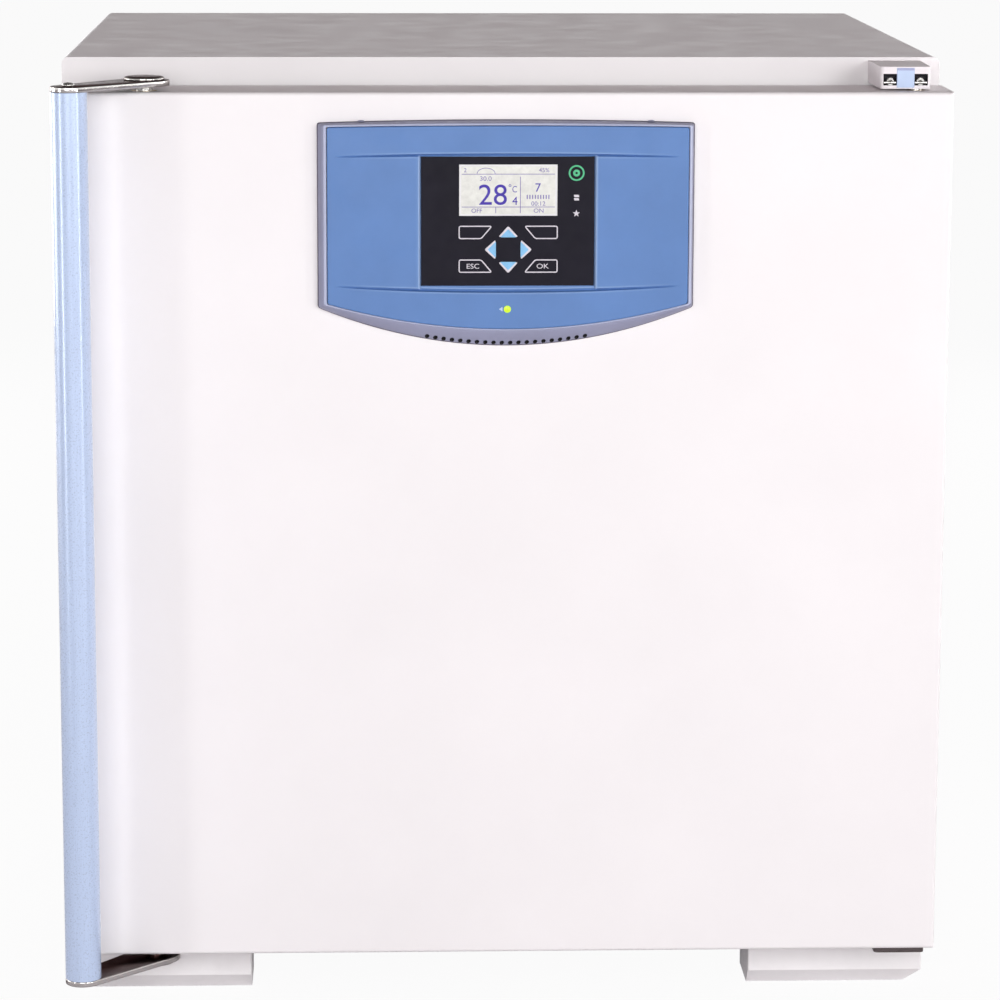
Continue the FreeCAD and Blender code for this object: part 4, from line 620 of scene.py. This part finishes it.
def rim_clips(finish):
    """Two low clips on the rim's top: across and around, a half ellipse that sinks into the rim."""
    along, lean = np.meshgrid(np.linspace(-1.0, 1.0, 15), np.linspace(0.0, math.pi, 13), indexing="ij")
    swell = np.sqrt(np.clip(1.0 - along ** 2, 0.0, 1.0))
    clips = []
    for middle in (-CLIP_RIGHT, CLIP_RIGHT):
        top = RIM_OUTER.top + RIM_OUTER.arch * (middle / RIM_OUTER.right) ** 2
        clips.append(on_panel(middle + CLIP_HALF_WIDTH * along, 2.2 + 1.6 * swell * np.cos(lean),
                              top - 0.9 * swell * np.sin(lean)))
    sheets("panel_rim_clips", clips, finish, "door")


# Blue fascia: two bands, a side pad each side of the keypad, and dark grooves between that fade out.

KEYPAD_MIDDLE, KEYPAD_HALF, KEYPAD_FLOOR = 0.95, 59.9, 7.0
PAD_DROP, PAD_BEVEL, GROOVE_DEPTH, GROOVE_REACH = 0.7, 1.5, 3.2, 117.0
UPPER_GROOVE, UPPER_BEND, UPPER_WIDTH = 42.2, 1.4, 2.2
LOWER_GROOVE, LOWER_BEND, LOWER_WIDTH = 136.7, -3.4, 2.4
FASCIA_CORNER, FASCIA_FILLET = 1.6, 0.8


def ease(share):
    """Smooth step from 0 to 1."""
    share = np.clip(share, 0.0, 1.0)
    return share * share * (3.0 - 2.0 * share)


def fascia_height(right, from_upper, from_lower):
    """Front of the fascia: bands at full height, pads a little lower near the keypad, grooves between.

    from_upper and from_lower are distances below each groove's middle. A groove's section is a raised
    cosine, and its depth and the pads' drop fade to nothing at the groove's reach.
    """
    aside = np.abs(right - KEYPAD_MIDDLE)
    fade = np.clip((GROOVE_REACH - aside) / (GROOVE_REACH - KEYPAD_HALF), 0.0, 1.0)
    between = ease(from_upper / UPPER_WIDTH + 0.5) * ease(0.5 - from_lower / LOWER_WIDTH)
    bed = between * ease((KEYPAD_HALF + PAD_BEVEL - aside) / PAD_BEVEL)
    height = FASCIA_PROUD - PAD_DROP * fade * between
    height += (KEYPAD_FLOOR - height) * bed
    for distance, width in ((from_upper, UPPER_WIDTH), (from_lower, LOWER_WIDTH)):
        near = np.clip(2.0 * np.abs(distance) / (width * (0.45 + 0.55 * fade)), 0.0, 1.0)
        cut = GROOVE_DEPTH * fade ** 0.6 * 0.5 * (1.0 + np.cos(math.pi * near))
        height = np.minimum(height, FASCIA_PROUD - cut)
    return height


def painted_edge_highlight(right, from_upper, from_lower):
    """Painted highlight on the fascia's edges, as the share of paler blue: 1 on the bevels beside the keypad, less
    along the grooves.

    Each is a bump exp(-d * d) of the distance d from the middle of the edge in half widths.
    """
    aside = np.abs(right - KEYPAD_MIDDLE)
    fade = np.clip((GROOVE_REACH - aside) / (GROOVE_REACH - KEYPAD_HALF), 0.0, 1.0)
    between = (from_upper > 0.0) & (from_lower < 0.0)
    highlight_paint = between * np.exp(-((aside - KEYPAD_HALF - 1.1) / 0.75) ** 2)
    for distance, side, share in ((from_upper, -1, 0.5), (from_upper, 1, 0.35), (from_lower, -1, 0.55),
                                  (from_lower, 1, 0.4)):
        highlight_paint = np.maximum(highlight_paint, share * fade * np.exp(-((distance * side - 1.5) / 0.45) ** 2))
    return highlight_paint


def panel_fascia(finish):
    """Fascia as a height field on rows that follow its arcs and grooves and on upright columns.

    Square corners turn round by p * sqrt(1 - q^2 / 2), q * sqrt(1 - p^2 / 2), the map of a square onto a
    disc, and the edge falls off as a quarter circle before its skirt.
    """
    left, wide = FASCIA_EDGE.left, FASCIA_EDGE.right - FASCIA_EDGE.left
    border = np.array((0.0, 0.04, 0.15, 0.3, 0.5, 0.8, 1.1, 1.6, 2.5, 4.0))
    bevels = [KEYPAD_MIDDLE - left + turn * (KEYPAD_HALF + PAD_BEVEL * np.linspace(0.0, 1.0, 9)) for turn in (-1, 1)]
    columns = np.unique(np.concatenate((border, np.linspace(7.0, wide - 7.0, 120), wide - border, *bevels)))
    columns = columns[np.diff(columns, prepend=-1.0) > 0.02]
    right = left + columns
    q = 2.0 * columns / wide - 1.0
    high = FASCIA_EDGE.top + FASCIA_EDGE.arch * q * q
    low = FASCIA_EDGE.foot + FASCIA_EDGE.sag * (1.0 - q * q)
    bend = (right / GROOVE_REACH) ** 2
    upper, lower = UPPER_GROOVE + UPPER_BEND * bend, LOWER_GROOVE + LOWER_BEND * bend
    mix = np.linspace(0.0, 1.0, 12)[1:-1, None]
    groove = 0.5 * np.linspace(-1.0, 1.0, 17)[:, None]
    lip_steps = np.array((2.4, 2.0, 1.7, 1.4))[:, None]
    edges = (high + border[-1], upper - lip_steps[0], upper + lip_steps[0],
             lower - lip_steps[0], lower + lip_steps[0], low - border[-1])
    spans = [edges[index] + (edges[index + 1] - edges[index]) * mix for index in (0, 2, 4)]
    below = np.concatenate((high + border[:, None], spans[0],
                            upper - lip_steps, upper + UPPER_WIDTH * groove, upper + lip_steps[::-1], spans[1],
                            lower - lip_steps, lower + LOWER_WIDTH * groove, lower + lip_steps[::-1], spans[2],
                            low - border[::-1, None]))
    right = np.broadcast_to(right, below.shape)
    out = fascia_height(right, below - upper, below - lower)
    # Share of paler blue painted on the edges as a highlight.
    highlight_paint = painted_edge_highlight(right, below - upper, below - lower)
    aside, upright = np.minimum(right - left, left + wide - right), np.minimum(below - high, low - below)
    fall = FASCIA_FILLET - np.clip(np.minimum(aside, upright), 0.0, FASCIA_FILLET)
    out = out - FASCIA_FILLET + np.sqrt(FASCIA_FILLET ** 2 - fall ** 2)
    p, q = (np.clip(1.0 - gap / FASCIA_CORNER, 0.0, 1.0) for gap in (aside, upright))
    pull, lift = p * np.sqrt(1.0 - 0.5 * q * q) - p, q * np.sqrt(1.0 - 0.5 * p * p) - q
    right = right + np.sign(right - left - 0.5 * wide) * FASCIA_CORNER * pull
    below = below + np.sign(below - 0.5 * (high + low)) * FASCIA_CORNER * lift
    right, below, out = (np.pad(part, 1, mode="edge") for part in (right, below, out))
    out[[0, -1], :] = out[:, [0, -1]] = FASCIA_PROUD - 4.0
    fascia = sheet("panel_fascia_front", on_panel(right, out, below), finish, "door")
    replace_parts(mark(fascia, "highlight_paint", np.pad(highlight_paint, 1, mode="edge")), "panel_fascia")


# Paler grey for the rim's crest is a painted highlight; the dark grey for the band at its foot is painted shadow.
rim_painted_highlight = moulded("rim_painted_highlight", srgb(192, 198, 224), 0.4, 1.2, 2.0e-5)
rim_painted_shade = moulded("rim_painted_shade", srgb(104, 100, 116), 0.6, 1.0, 3.0e-5)
panel_rim(finishes["rim_grey"], rim_painted_highlight, rim_painted_shade, finishes["plastic_black"])
rim_clips(finishes["rim_grey"])
# Fascia made paler blue along its bevels and groove edges: a painted highlight.
panel_fascia(moulded("fascia_painted_highlight", PANEL_BLUE, 0.44, 1.2, 2.5e-5).lighten("highlight_paint", srgb(160, 188, 228)))


# Prints on the keypad and the display: raised ink and embossed keys, a fraction of a millimetre high.

FOIL_OUT = (DOOR_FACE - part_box("keypad")[0][1]) / MM
SCREEN_OUT = (DOOR_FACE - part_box("display_window")[0][1]) / MM
KEYS_MIDDLE, KEYS_CENTRE = 1.36, 107.9
KEY_END, KEY_LONG, KEY_SHORT, KEY_TALL = 33.9, 11.5, 18.7, 8.5
KEY_ROW_UPPER, KEY_ROW_LOWER = 91.7, 115.1


def softened(corners, reach, count=7):
    """Closed outline of a polygon, its corners turned into parabolas as on the rim.

    The corners are (right, below), clockwise as seen from the front.
    """
    tips = np.array(corners, float)
    back, ahead = np.roll(tips, 1, axis=0) - tips, np.roll(tips, -1, axis=0) - tips
    back, ahead = (part * reach / np.linalg.norm(part, axis=1)[:, None] for part in (back, ahead))
    k = np.linspace(0.0, 1.0, count)[None, :, None]
    return (tips[:, None] + (1.0 - k) ** 2 * back[:, None] + k ** 2 * ahead[:, None]).reshape(-1, 2)


def circle(right, below, radius, count=48):
    """Circle round a place on the panel, clockwise from its top."""
    turn = np.linspace(0.0, 2.0 * math.pi, count, endpoint=False)
    return np.stack((right + radius * np.sin(turn), below - radius * np.cos(turn)), 1)


def stroke(outline, width, base, rise, closed=True):
    """Line of ink along an outline: a low rounded section carried along it, square to the path."""
    if closed:
        along = np.roll(outline, -1, axis=0) - np.roll(outline, 1, axis=0)
    else:
        along = np.gradient(outline, axis=0)
    along = along / np.maximum(np.linalg.norm(along, axis=1)[:, None], 1.0e-9)
    normal = np.stack((along[:, 1], -along[:, 0]), 1)
    section = ((0.5, 0.0), (0.44, 0.8), (0.0, 1.0), (-0.44, 0.8), (-0.5, 0.0))
    flats = [outline + width * offset * normal for offset, lift in section]
    return np.array([on_panel(flat[:, 0], base + rise * lift, flat[:, 1])
                     for flat, (offset, lift) in zip(flats, section)])


def pad(outline, base, rise, edge=0.35):
    """Filled shape: rings from the outline to its middle that rise over a narrow rounded edge."""
    middle = outline.mean(0)
    size = np.linalg.norm(outline - middle, axis=1).mean()
    shares = (1.0, 1.0 - 0.3 * edge / size, 1.0 - edge / size, 0.5, 0.0)
    rings = [middle + share * (outline - middle) for share in shares]
    return np.array([on_panel(ring[:, 0], base + rise * lift, ring[:, 1])
                     for ring, lift in zip(rings, (0.0, 0.7, 1.0, 1.0, 1.0))])


def print_group(name, grids, finish):
    """Closed prints of any size as one piece."""
    places, faces, first = [], [], 0
    for grid in grids:
        places.append(grid.reshape(-1, 3))
        faces.append(grid_faces(*grid.shape[:2], closed=True, first=first))
        first += len(places[-1])
    return piece(name, np.concatenate(places), np.concatenate(faces).tolist(), finish, "door")


def bar(left, right, below, width, base, rise=0.04):
    """Straight level line of ink as a closed pad."""
    half = 0.5 * width
    corners = ((left, below - half), (right, below - half), (right, below + half), (left, below + half))
    return pad(softened(corners, 0.3 * width, 3), base, rise, 0.25 * width)


def upright_bar(right, top, bottom, width, base, rise=0.04):
    """Straight upright line of ink as a closed pad."""
    half = 0.5 * width
    corners = ((right - half, top), (right + half, top), (right + half, bottom), (right - half, bottom))
    return pad(softened(corners, 0.3 * width, 3), base, rise, 0.25 * width)


def lettering(name, words, right, below, height, base, finish, widen=1.0):
    """Figures or letters: built-in letters made a mesh, scaled to a height and set flat on the panel."""
    data = bpy.data.curves.new(name + "_text", "FONT")
    data.body, data.size, data.extrude, data.offset = words, 1.0, 0.004, 0.0
    data.resolution_u = 6
    source = bpy.data.objects.new(name + "_text", data)
    bpy.context.scene.collection.objects.link(source)
    bpy.context.view_layer.update()
    mesh = bpy.data.meshes.new_from_object(source.evaluated_get(bpy.context.evaluated_depsgraph_get()))
    bpy.data.objects.remove(source)
    flat = np.empty(len(mesh.vertices) * 3)
    mesh.vertices.foreach_get("co", flat)
    flat = flat.reshape(-1, 3)
    low, high = flat.min(0), flat.max(0)
    scale = height / (high[1] - low[1])
    across = right + (flat[:, 0] - 0.5 * (low[0] + high[0])) * scale * widen
    down = below - (flat[:, 1] - 0.5 * (low[1] + high[1])) * scale
    places = on_panel(across, base + 0.03 + flat[:, 2] * scale, down)
    faces = [list(face.vertices) for face in mesh.polygons]
    return piece(name, places, faces, finish, "door", smooth=False)


def printed(name, colour, rough=0.5, glow=0.0):
    """Screen-printed ink: slight cover changes, a fine dot of the mesh it went through."""
    ink = Finish(name).put(shine=0.3, glow=glow, glow_colour=(*colour, 1.0))
    ink.tint(ink.noise((260, 260, 260), 4.0, 0.6), shaded(colour, 0.9), shaded(colour, 1.06))
    ink.gloss(ink.noise((90, 90, 90), 3.0), rough - 0.05, rough + 0.08)
    return ink.relief(ink.cells((5200, 5200, 5200)), 4.0e-6, 0.3)


def key_outlines():
    """Outlines of the four soft keys, each with a slanted inner end; the long side faces outwards."""
    outlines = []
    for top, long_top in ((KEY_ROW_UPPER, True), (KEY_ROW_LOWER, False)):
        reach_top, reach_low = (KEY_LONG, KEY_SHORT) if long_top else (KEY_SHORT, KEY_LONG)
        low = top + KEY_TALL
        outlines.append(((-KEY_END, top), (-reach_top, top), (-reach_low, low), (-KEY_END, low)))
        outlines.append(((reach_top, top), (KEY_END, top), (KEY_END, low), (reach_low, low)))
    return [np.array(outline) + (KEYS_MIDDLE, 0.0) for outline in outlines]


def arrow(turn, tip, base, half):
    """Triangle that points away from the middle of the keys, turned by quarter turns."""
    angle = 0.5 * math.pi * turn
    points = np.array(((0.0, -tip), (half, -base), (-half, -base)))
    spin = np.array(((math.cos(angle), math.sin(angle)), (-math.sin(angle), math.cos(angle))))
    return points @ spin + (KEYS_MIDDLE, KEYS_CENTRE)


def star(right, below, radius):
    """Five-pointed star as a closed outline."""
    turn = np.linspace(0.0, 2.0 * math.pi, 10, endpoint=False)
    reach = radius * np.where(np.arange(10) % 2 == 0, 1.0, 0.42)
    return np.stack((right + reach * np.sin(turn), below - reach * np.cos(turn)), 1)


def keypad_prints(white, blue, green, foil):
    """Soft keys, arrow keys, the green ring and two small symbols."""
    keys = key_outlines()
    print_group("keypad_soft_keys", [pad(softened(key, 1.2), FOIL_OUT, 0.10, 0.8) for key in keys], foil)
    print_group("keypad_key_lines", [stroke(softened(key, 1.3), 0.85, FOIL_OUT, 0.16) for key in keys], white)
    print_group("keypad_arrow_edges", [pad(softened(arrow(turn, 16.5, 8.8, 6.9), 1.5), FOIL_OUT, 0.20, 0.5)
                                       for turn in range(4)], white)
    print_group("keypad_arrow_keys", [pad(softened(arrow(turn, 14.4, 8.5, 5.7), 0.9), FOIL_OUT + 0.12, 0.20, 0.6)
                                      for turn in range(4)], blue)
    ring, dot, hole = circle(48.4, 54.9, 4.9), circle(48.4, 54.9, 2.4), circle(48.4, 54.9, 0.85, 24)
    print_group("keypad_ring", [stroke(ring, 1.15, FOIL_OUT, 0.10), pad(dot, FOIL_OUT, 0.10)], green)
    print_group("keypad_ring_hole", [pad(hole, FOIL_OUT + 0.11, 0.02, 0.2)], foil)
    slants = [np.array(((-1.9, drop), (1.5, drop), (1.9, drop + 1.7), (-1.5, drop + 1.7))) + (48.45, 69.9)
              for drop in (0.0, 2.3)]
    print_group("keypad_symbols", [pad(softened(slant, 0.4, 4), FOIL_OUT, 0.06, 0.2) for slant in slants]
                + [pad(star(48.4, 82.9, 2.6), FOIL_OUT, 0.06, 0.2)], white)
    lettering("keypad_esc", "ESC", -23.0, 119.4, 3.4, FOIL_OUT + 0.08, white, 1.15)
    lettering("keypad_ok", "OK", 25.3, 119.4, 3.4, FOIL_OUT + 0.08, white, 1.2)


def display_prints(field, ink, thin_ink):
    """Reading on the display: plain figures between thin rules, with a short row of bars."""
    base = SCREEN_OUT + 0.06
    corners = ((-31.2, 50.3), (33.9, 50.3), (33.9, 83.2), (-31.2, 83.2))
    print_group("display_field", [pad(softened(corners, 1.0), SCREEN_OUT, 0.05, 0.3)], field)
    rules = [bar(-30.8, 33.5, below, 0.42, base) for below in (55.7, 78.4)]
    rules += [upright_bar(9.7, 57.4, 82.6, 0.45, base), upright_bar(-7.3, 78.6, 82.6, 0.45, base)]
    rules += [upright_bar(right, 70.0, 72.9, 0.75, base) for right in np.linspace(14.4, 29.4, 9)]
    print_group("display_rules", rules, thin_ink)
    sweep = np.linspace(0.0, math.pi, 25)
    arch = np.stack((-14.0 - 6.2 * np.cos(sweep), 55.4 - 3.9 * np.sin(sweep)), 1)
    sheet("display_arch", stroke(arch, 0.4, base, 0.04, closed=False), thin_ink, "door")
    figures = (("display_reading", "28", -9.3, 69.9, 14.2, ink, 1.02),
               ("display_reading_part", "4", 5.9, 74.1, 5.6, ink, 0.95),
               ("display_unit", "C", 5.7, 66.1, 4.4, ink, 0.8),
               ("display_count", "7", 21.9, 65.0, 5.9, ink, 1.0),
               ("display_clock", "00:12", 22.1, 76.0, 3.0, thin_ink, 1.05),
               ("display_target", "30.0", -14.2, 58.7, 3.1, thin_ink, 1.1),
               ("display_number", "2", -28.4, 52.9, 2.9, thin_ink, 1.0),
               ("display_share", "45%", 26.0, 52.9, 2.9, thin_ink, 1.05),
               ("display_off", "OFF", -20.4, 80.9, 2.9, thin_ink, 1.05),
               ("display_on", "ON", 22.3, 80.9, 2.9, thin_ink, 1.1))
    for name, words, right, below, height, colour, widen in figures:
        lettering(name, words, right, below, height, base, colour, widen)
    print_group("display_degree", [stroke(circle(2.5, 63.6, 0.75, 20), 0.35, base, 0.04)], ink)


def status_light_parts(lens, white):
    """Domed lens over the status light and a small pale pointer beside it."""
    low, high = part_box("status_led")
    right, below = 0.5 * (low[0] + high[0]) / MM, (DOOR_TOP - 0.5 * (low[2] + high[2])) / MM
    radius, front = 0.5 * (high[0] - low[0]) / MM, (DOOR_FACE - low[1]) / MM
    turn, rise = np.meshgrid(np.linspace(0.0, 2.0 * math.pi, 40, endpoint=False),
                             np.linspace(0.0, 0.5 * math.pi, 10))
    flat = radius * np.cos(rise)
    dome = on_panel(right + flat * np.sin(turn), front + 0.55 * np.sin(rise), below - flat * np.cos(turn))
    sheet("status_light_lens", dome, lens, "door", closed=True)
    pointer = ((right - 5.9, below), (right - 3.3, below - 1.7), (right - 3.3, below + 1.7))
    print_group("status_light_pointer", [pad(softened(pointer, 0.3, 4), FASCIA_PROUD - 0.02, 0.08, 0.3)],
                white)


print_white = printed("print_white", srgb(226, 222, 230))
ink_dark, ink_thin = printed("ink_violet", srgb(74, 58, 172)), printed("ink_thin", srgb(124, 112, 178))
# The green ink's small glow is painted light: it brightens the printed ring beyond what the lamps give.
keypad_prints(print_white, printed("print_blue", srgb(138, 198, 240), 0.42),
              printed("print_green", srgb(90, 194, 142), 0.45, 0.08), finishes["keypad_black"])
display_prints(printed("display_field", srgb(233, 234, 228), 0.35), ink_dark, ink_thin)
status_light_parts(finishes["light_green"], printed("print_pale", srgb(198, 216, 244)))


# Handle and hinge

def turned(profile, foot, axis, count=36, hexagon_from=None):
    """Surface of revolution: (radius, height) pairs in millimetres carried round an axis from its foot.

    From the ring hexagon_from on, the radius follows a hexagon: r * cos(30) / cos(angle from a flat).
    """
    axis = np.array(axis, float)
    side = np.cross(axis, (0.0, 1.0, 0.0) if abs(axis[1]) < 0.9 else (1.0, 0.0, 0.0))
    side = side / np.linalg.norm(side)
    other = np.cross(axis, side)
    turn = -np.linspace(0.0, 2.0 * math.pi, count, endpoint=False)
    sixth = math.pi / 3.0
    flats = math.cos(0.5 * sixth) / np.cos(np.mod(turn, sixth) - 0.5 * sixth)
    rings = []
    for index, (radius, height) in enumerate(profile):
        reach = radius * (flats if hexagon_from is not None and index >= hexagon_from else 1.0) * MM
        spin = np.cos(turn)[:, None] * side + np.sin(turn)[:, None] * other
        rings.append(np.array(foot) + np.broadcast_to(reach, turn.shape)[:, None] * spin + height * MM * axis)
    return np.array(rings)


CAP_PROFILE = ((13.7, 0.0), (14.0, 0.25), (14.0, 0.9), (13.8, 1.5), (13.2, 2.05), (12.2, 2.4), (10.0, 2.6),
               (6.0, 2.75), (0.0, 2.8))
SOCKET_SCREW = ((4.0, 0.0), (4.2, 0.2), (4.2, 0.8), (4.0, 1.3), (3.5, 1.8), (2.7, 2.15), (2.05, 2.25), (1.9, 2.1),
                (1.9, 0.7), (0.0, 0.5))
SOCKET_FROM = 7
# Share of the painted highlight on each ring of CAP_PROFILE: the cap's wall paler, its top dark.
CAP_HIGHLIGHT_PAINT = (1.0, 1.0, 1.0, 0.9, 0.5, 0.1, 0.0, 0.0, 0.0)
CAP_SIDES = 64
LEVER_ROUND = 0.0008
BELT_STEPS = 33


def belt(ends, radii, inset):
    """Line of a belt round two discs, drawn in by an inset and clockwise from above: (x, y) in metres.

    The straight runs leave both discs at acos((r0 - r1) / distance) from the line between the middles.
    """
    along = ends[1] - ends[0]
    lean = math.acos((radii[0] - radii[1]) / np.linalg.norm(along))
    far = np.linspace(lean, -lean, BELT_STEPS)
    near = np.linspace(-lean, lean - 2.0 * math.pi, BELT_STEPS)
    turn = math.atan2(along[1], along[0]) + np.concatenate((far, near))
    reach = np.repeat((radii[1] - inset, radii[0] - inset), BELT_STEPS)
    middle = np.repeat((ends[1], ends[0]), BELT_STEPS, axis=0)
    return middle + reach[:, None] * np.stack((np.cos(turn), np.sin(turn)), 1)


def lever_plate(node, steel):
    """Lever from the bar to the latch shaft; each rim is a quarter circle, and its edge is painted paler as a
    highlight.
    """
    box, bar_box, shaft_box = (np.array(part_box(name)) for name in (node, "handle_bar", "latch_shaft"))
    bar, pivot = bar_box.mean(0)[:2], shaft_box.mean(0)[:2]
    radii = 0.5 * (bar_box[1, 0] - bar_box[0, 0]), box[1, 0] - pivot[0]
    quarter = np.radians((0.0, 30.0, 60.0, 90.0))
    inset, rise = LEVER_ROUND * (1.0 - np.sin(quarter)), LEVER_ROUND * (1.0 - np.cos(quarter))
    height = np.concatenate((box[0, 2] + rise, box[1, 2] - rise[::-1]))
    lines = [belt((bar, pivot), radii, drawn) for drawn in (*inset, *inset[::-1])]
    places = np.array([np.column_stack((line, np.full(len(line), z))) for line, z in zip(lines, height)])
    rows, columns = places.shape[:2]
    first, last = np.arange(columns), (rows - 1) * columns + np.arange(columns)
    faces = grid_faces(rows, columns, closed=True).tolist() + [first.tolist(), last[::-1].tolist()]
    plate = piece(node + "_plate", places, faces, steel, "handle")
    # Share of the painted highlight on each ring: the rims paler, the top and bottom faces dark.
    edge_highlight = (1.0 - inset / LEVER_ROUND) ** 2
    mark(plate, "highlight_paint", np.repeat((*edge_highlight, *edge_highlight[::-1]), columns))
    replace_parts(plate, node)


def handle_ends(steel, screw_steel):
    """Levers, rounded caps on both ends of the latch shaft, and socket screws in both ends of the bar."""
    lever_plate("lever_top", steel)
    lever_plate("lever_bottom", steel)
    shaft, bar_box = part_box("latch_shaft"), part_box("handle_bar")
    ends = ((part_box("lever_top")[1][2], 1), (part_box("lever_bottom")[0][2], -1))
    pivot, middle = (0.5 * (box[0] + box[1]) for box in (shaft, bar_box))
    caps = [turned(CAP_PROFILE, (pivot[0], pivot[1], z), (0, 0, way), CAP_SIDES) for z, way in ends]
    screws = [turned(SOCKET_SCREW, (middle[0], middle[1], z), (0, 0, way), 36, SOCKET_FROM) for z, way in ends]
    discs = sheets("pivot_cap_discs", caps, steel, "handle", closed=True)
    mark(discs, "highlight_paint", np.tile(np.repeat(CAP_HIGHLIGHT_PAINT, CAP_SIDES), len(ends)))
    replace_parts(discs, "pivot_caps")
    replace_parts(sheets("bar_socket_screws", screws, screw_steel, "handle", closed=True), "bar_screws")


def hinge_slot(dark, steel, band):
    """Pocket painted dark as the shade in the slot and a bright steel leaf, on each side of the insert, and a darker
    band painted as the shadow line along the insert's top.
    """
    block, insert = ([(corner[0] / MM, (DOOR_FACE - corner[1]) / MM, (DOOR_TOP - corner[2]) / MM)
                      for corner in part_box(node)] for node in ("hinge_block_top", "hinge_insert"))
    middle = 0.5 * (insert[0][0] + insert[1][0])
    half, foot, front = 0.5 * (insert[1][0] - insert[0][0]), block[0][2], block[0][1]
    slot_end, slot_low, slot_high, depth, lining = 15.45, foot - 2.35, foot - 10.25, 4.9, 0.12
    pockets, leaves = [], []
    for low, high in ((middle - slot_end, middle - half), (middle + half, middle + slot_end)):
        outline = softened(((low, slot_high), (high, slot_high), (high, slot_low), (low, slot_low)), 0.4, 4)
        centre = np.broadcast_to(outline.mean(0), outline.shape)
        levels = ((outline, front - lining), (outline, front - depth), (centre, front - depth))
        pockets.append([on_panel(flat[:, 0], out, flat[:, 1]) for flat, out in levels])
        start = on_panel(low + 0.2, front - 2.6, slot_low - 1.75)
        length = high - low - 0.4
        leaves.append(turned(((0.0, 0.0), (1.6, 0.05), (1.7, 0.3), (1.7, length - 0.3), (1.6, length - 0.05),
                              (0.0, length)), start, (1, 0, 0), 24))
    # The pockets' near-black finish is painted shade.
    sheets("hinge_slot_pockets", pockets, dark, "cabinet", closed=True)
    sheets("hinge_slot_leaves", leaves, steel, "cabinet", closed=True)
    # Darker blue band along the insert's top: a painted shadow line.
    top = insert[1][2]
    corners = ((middle - half + 0.3, top + 0.1), (middle + half - 0.3, top + 0.1),
               (middle + half - 0.3, top + 1.7), (middle - half + 0.3, top + 1.7))
    shadow_pad = pad(softened(corners, 0.3, 4), insert[0][1] - 0.02, 0.12, 0.3)
    sheet("hinge_insert_shadow_line", shadow_pad, band, "cabinet", closed=True)


# Steel whose dark base stands in for the dark reflection on the tops, made paler towards the rims of levers and caps
# as a painted highlight.
handle_ends(turned_metal("steel_painted_highlight", DARK_STEEL, 0.14).put(edge=DARK_EDGE).lighten("highlight_paint", (0.78, 0.76, 0.74)),
            finishes["screw_steel"])
# Near-black for the slot's pockets is painted shade; the greyer blue band on the insert is a painted shadow line.
hinge_slot(moulded("hinge_painted_shade", srgb(34, 30, 38), 0.5), finishes["screw_steel"],
           moulded("insert_painted_shadow", srgb(168, 174, 212), 0.45, 1.4, 1.5e-5))
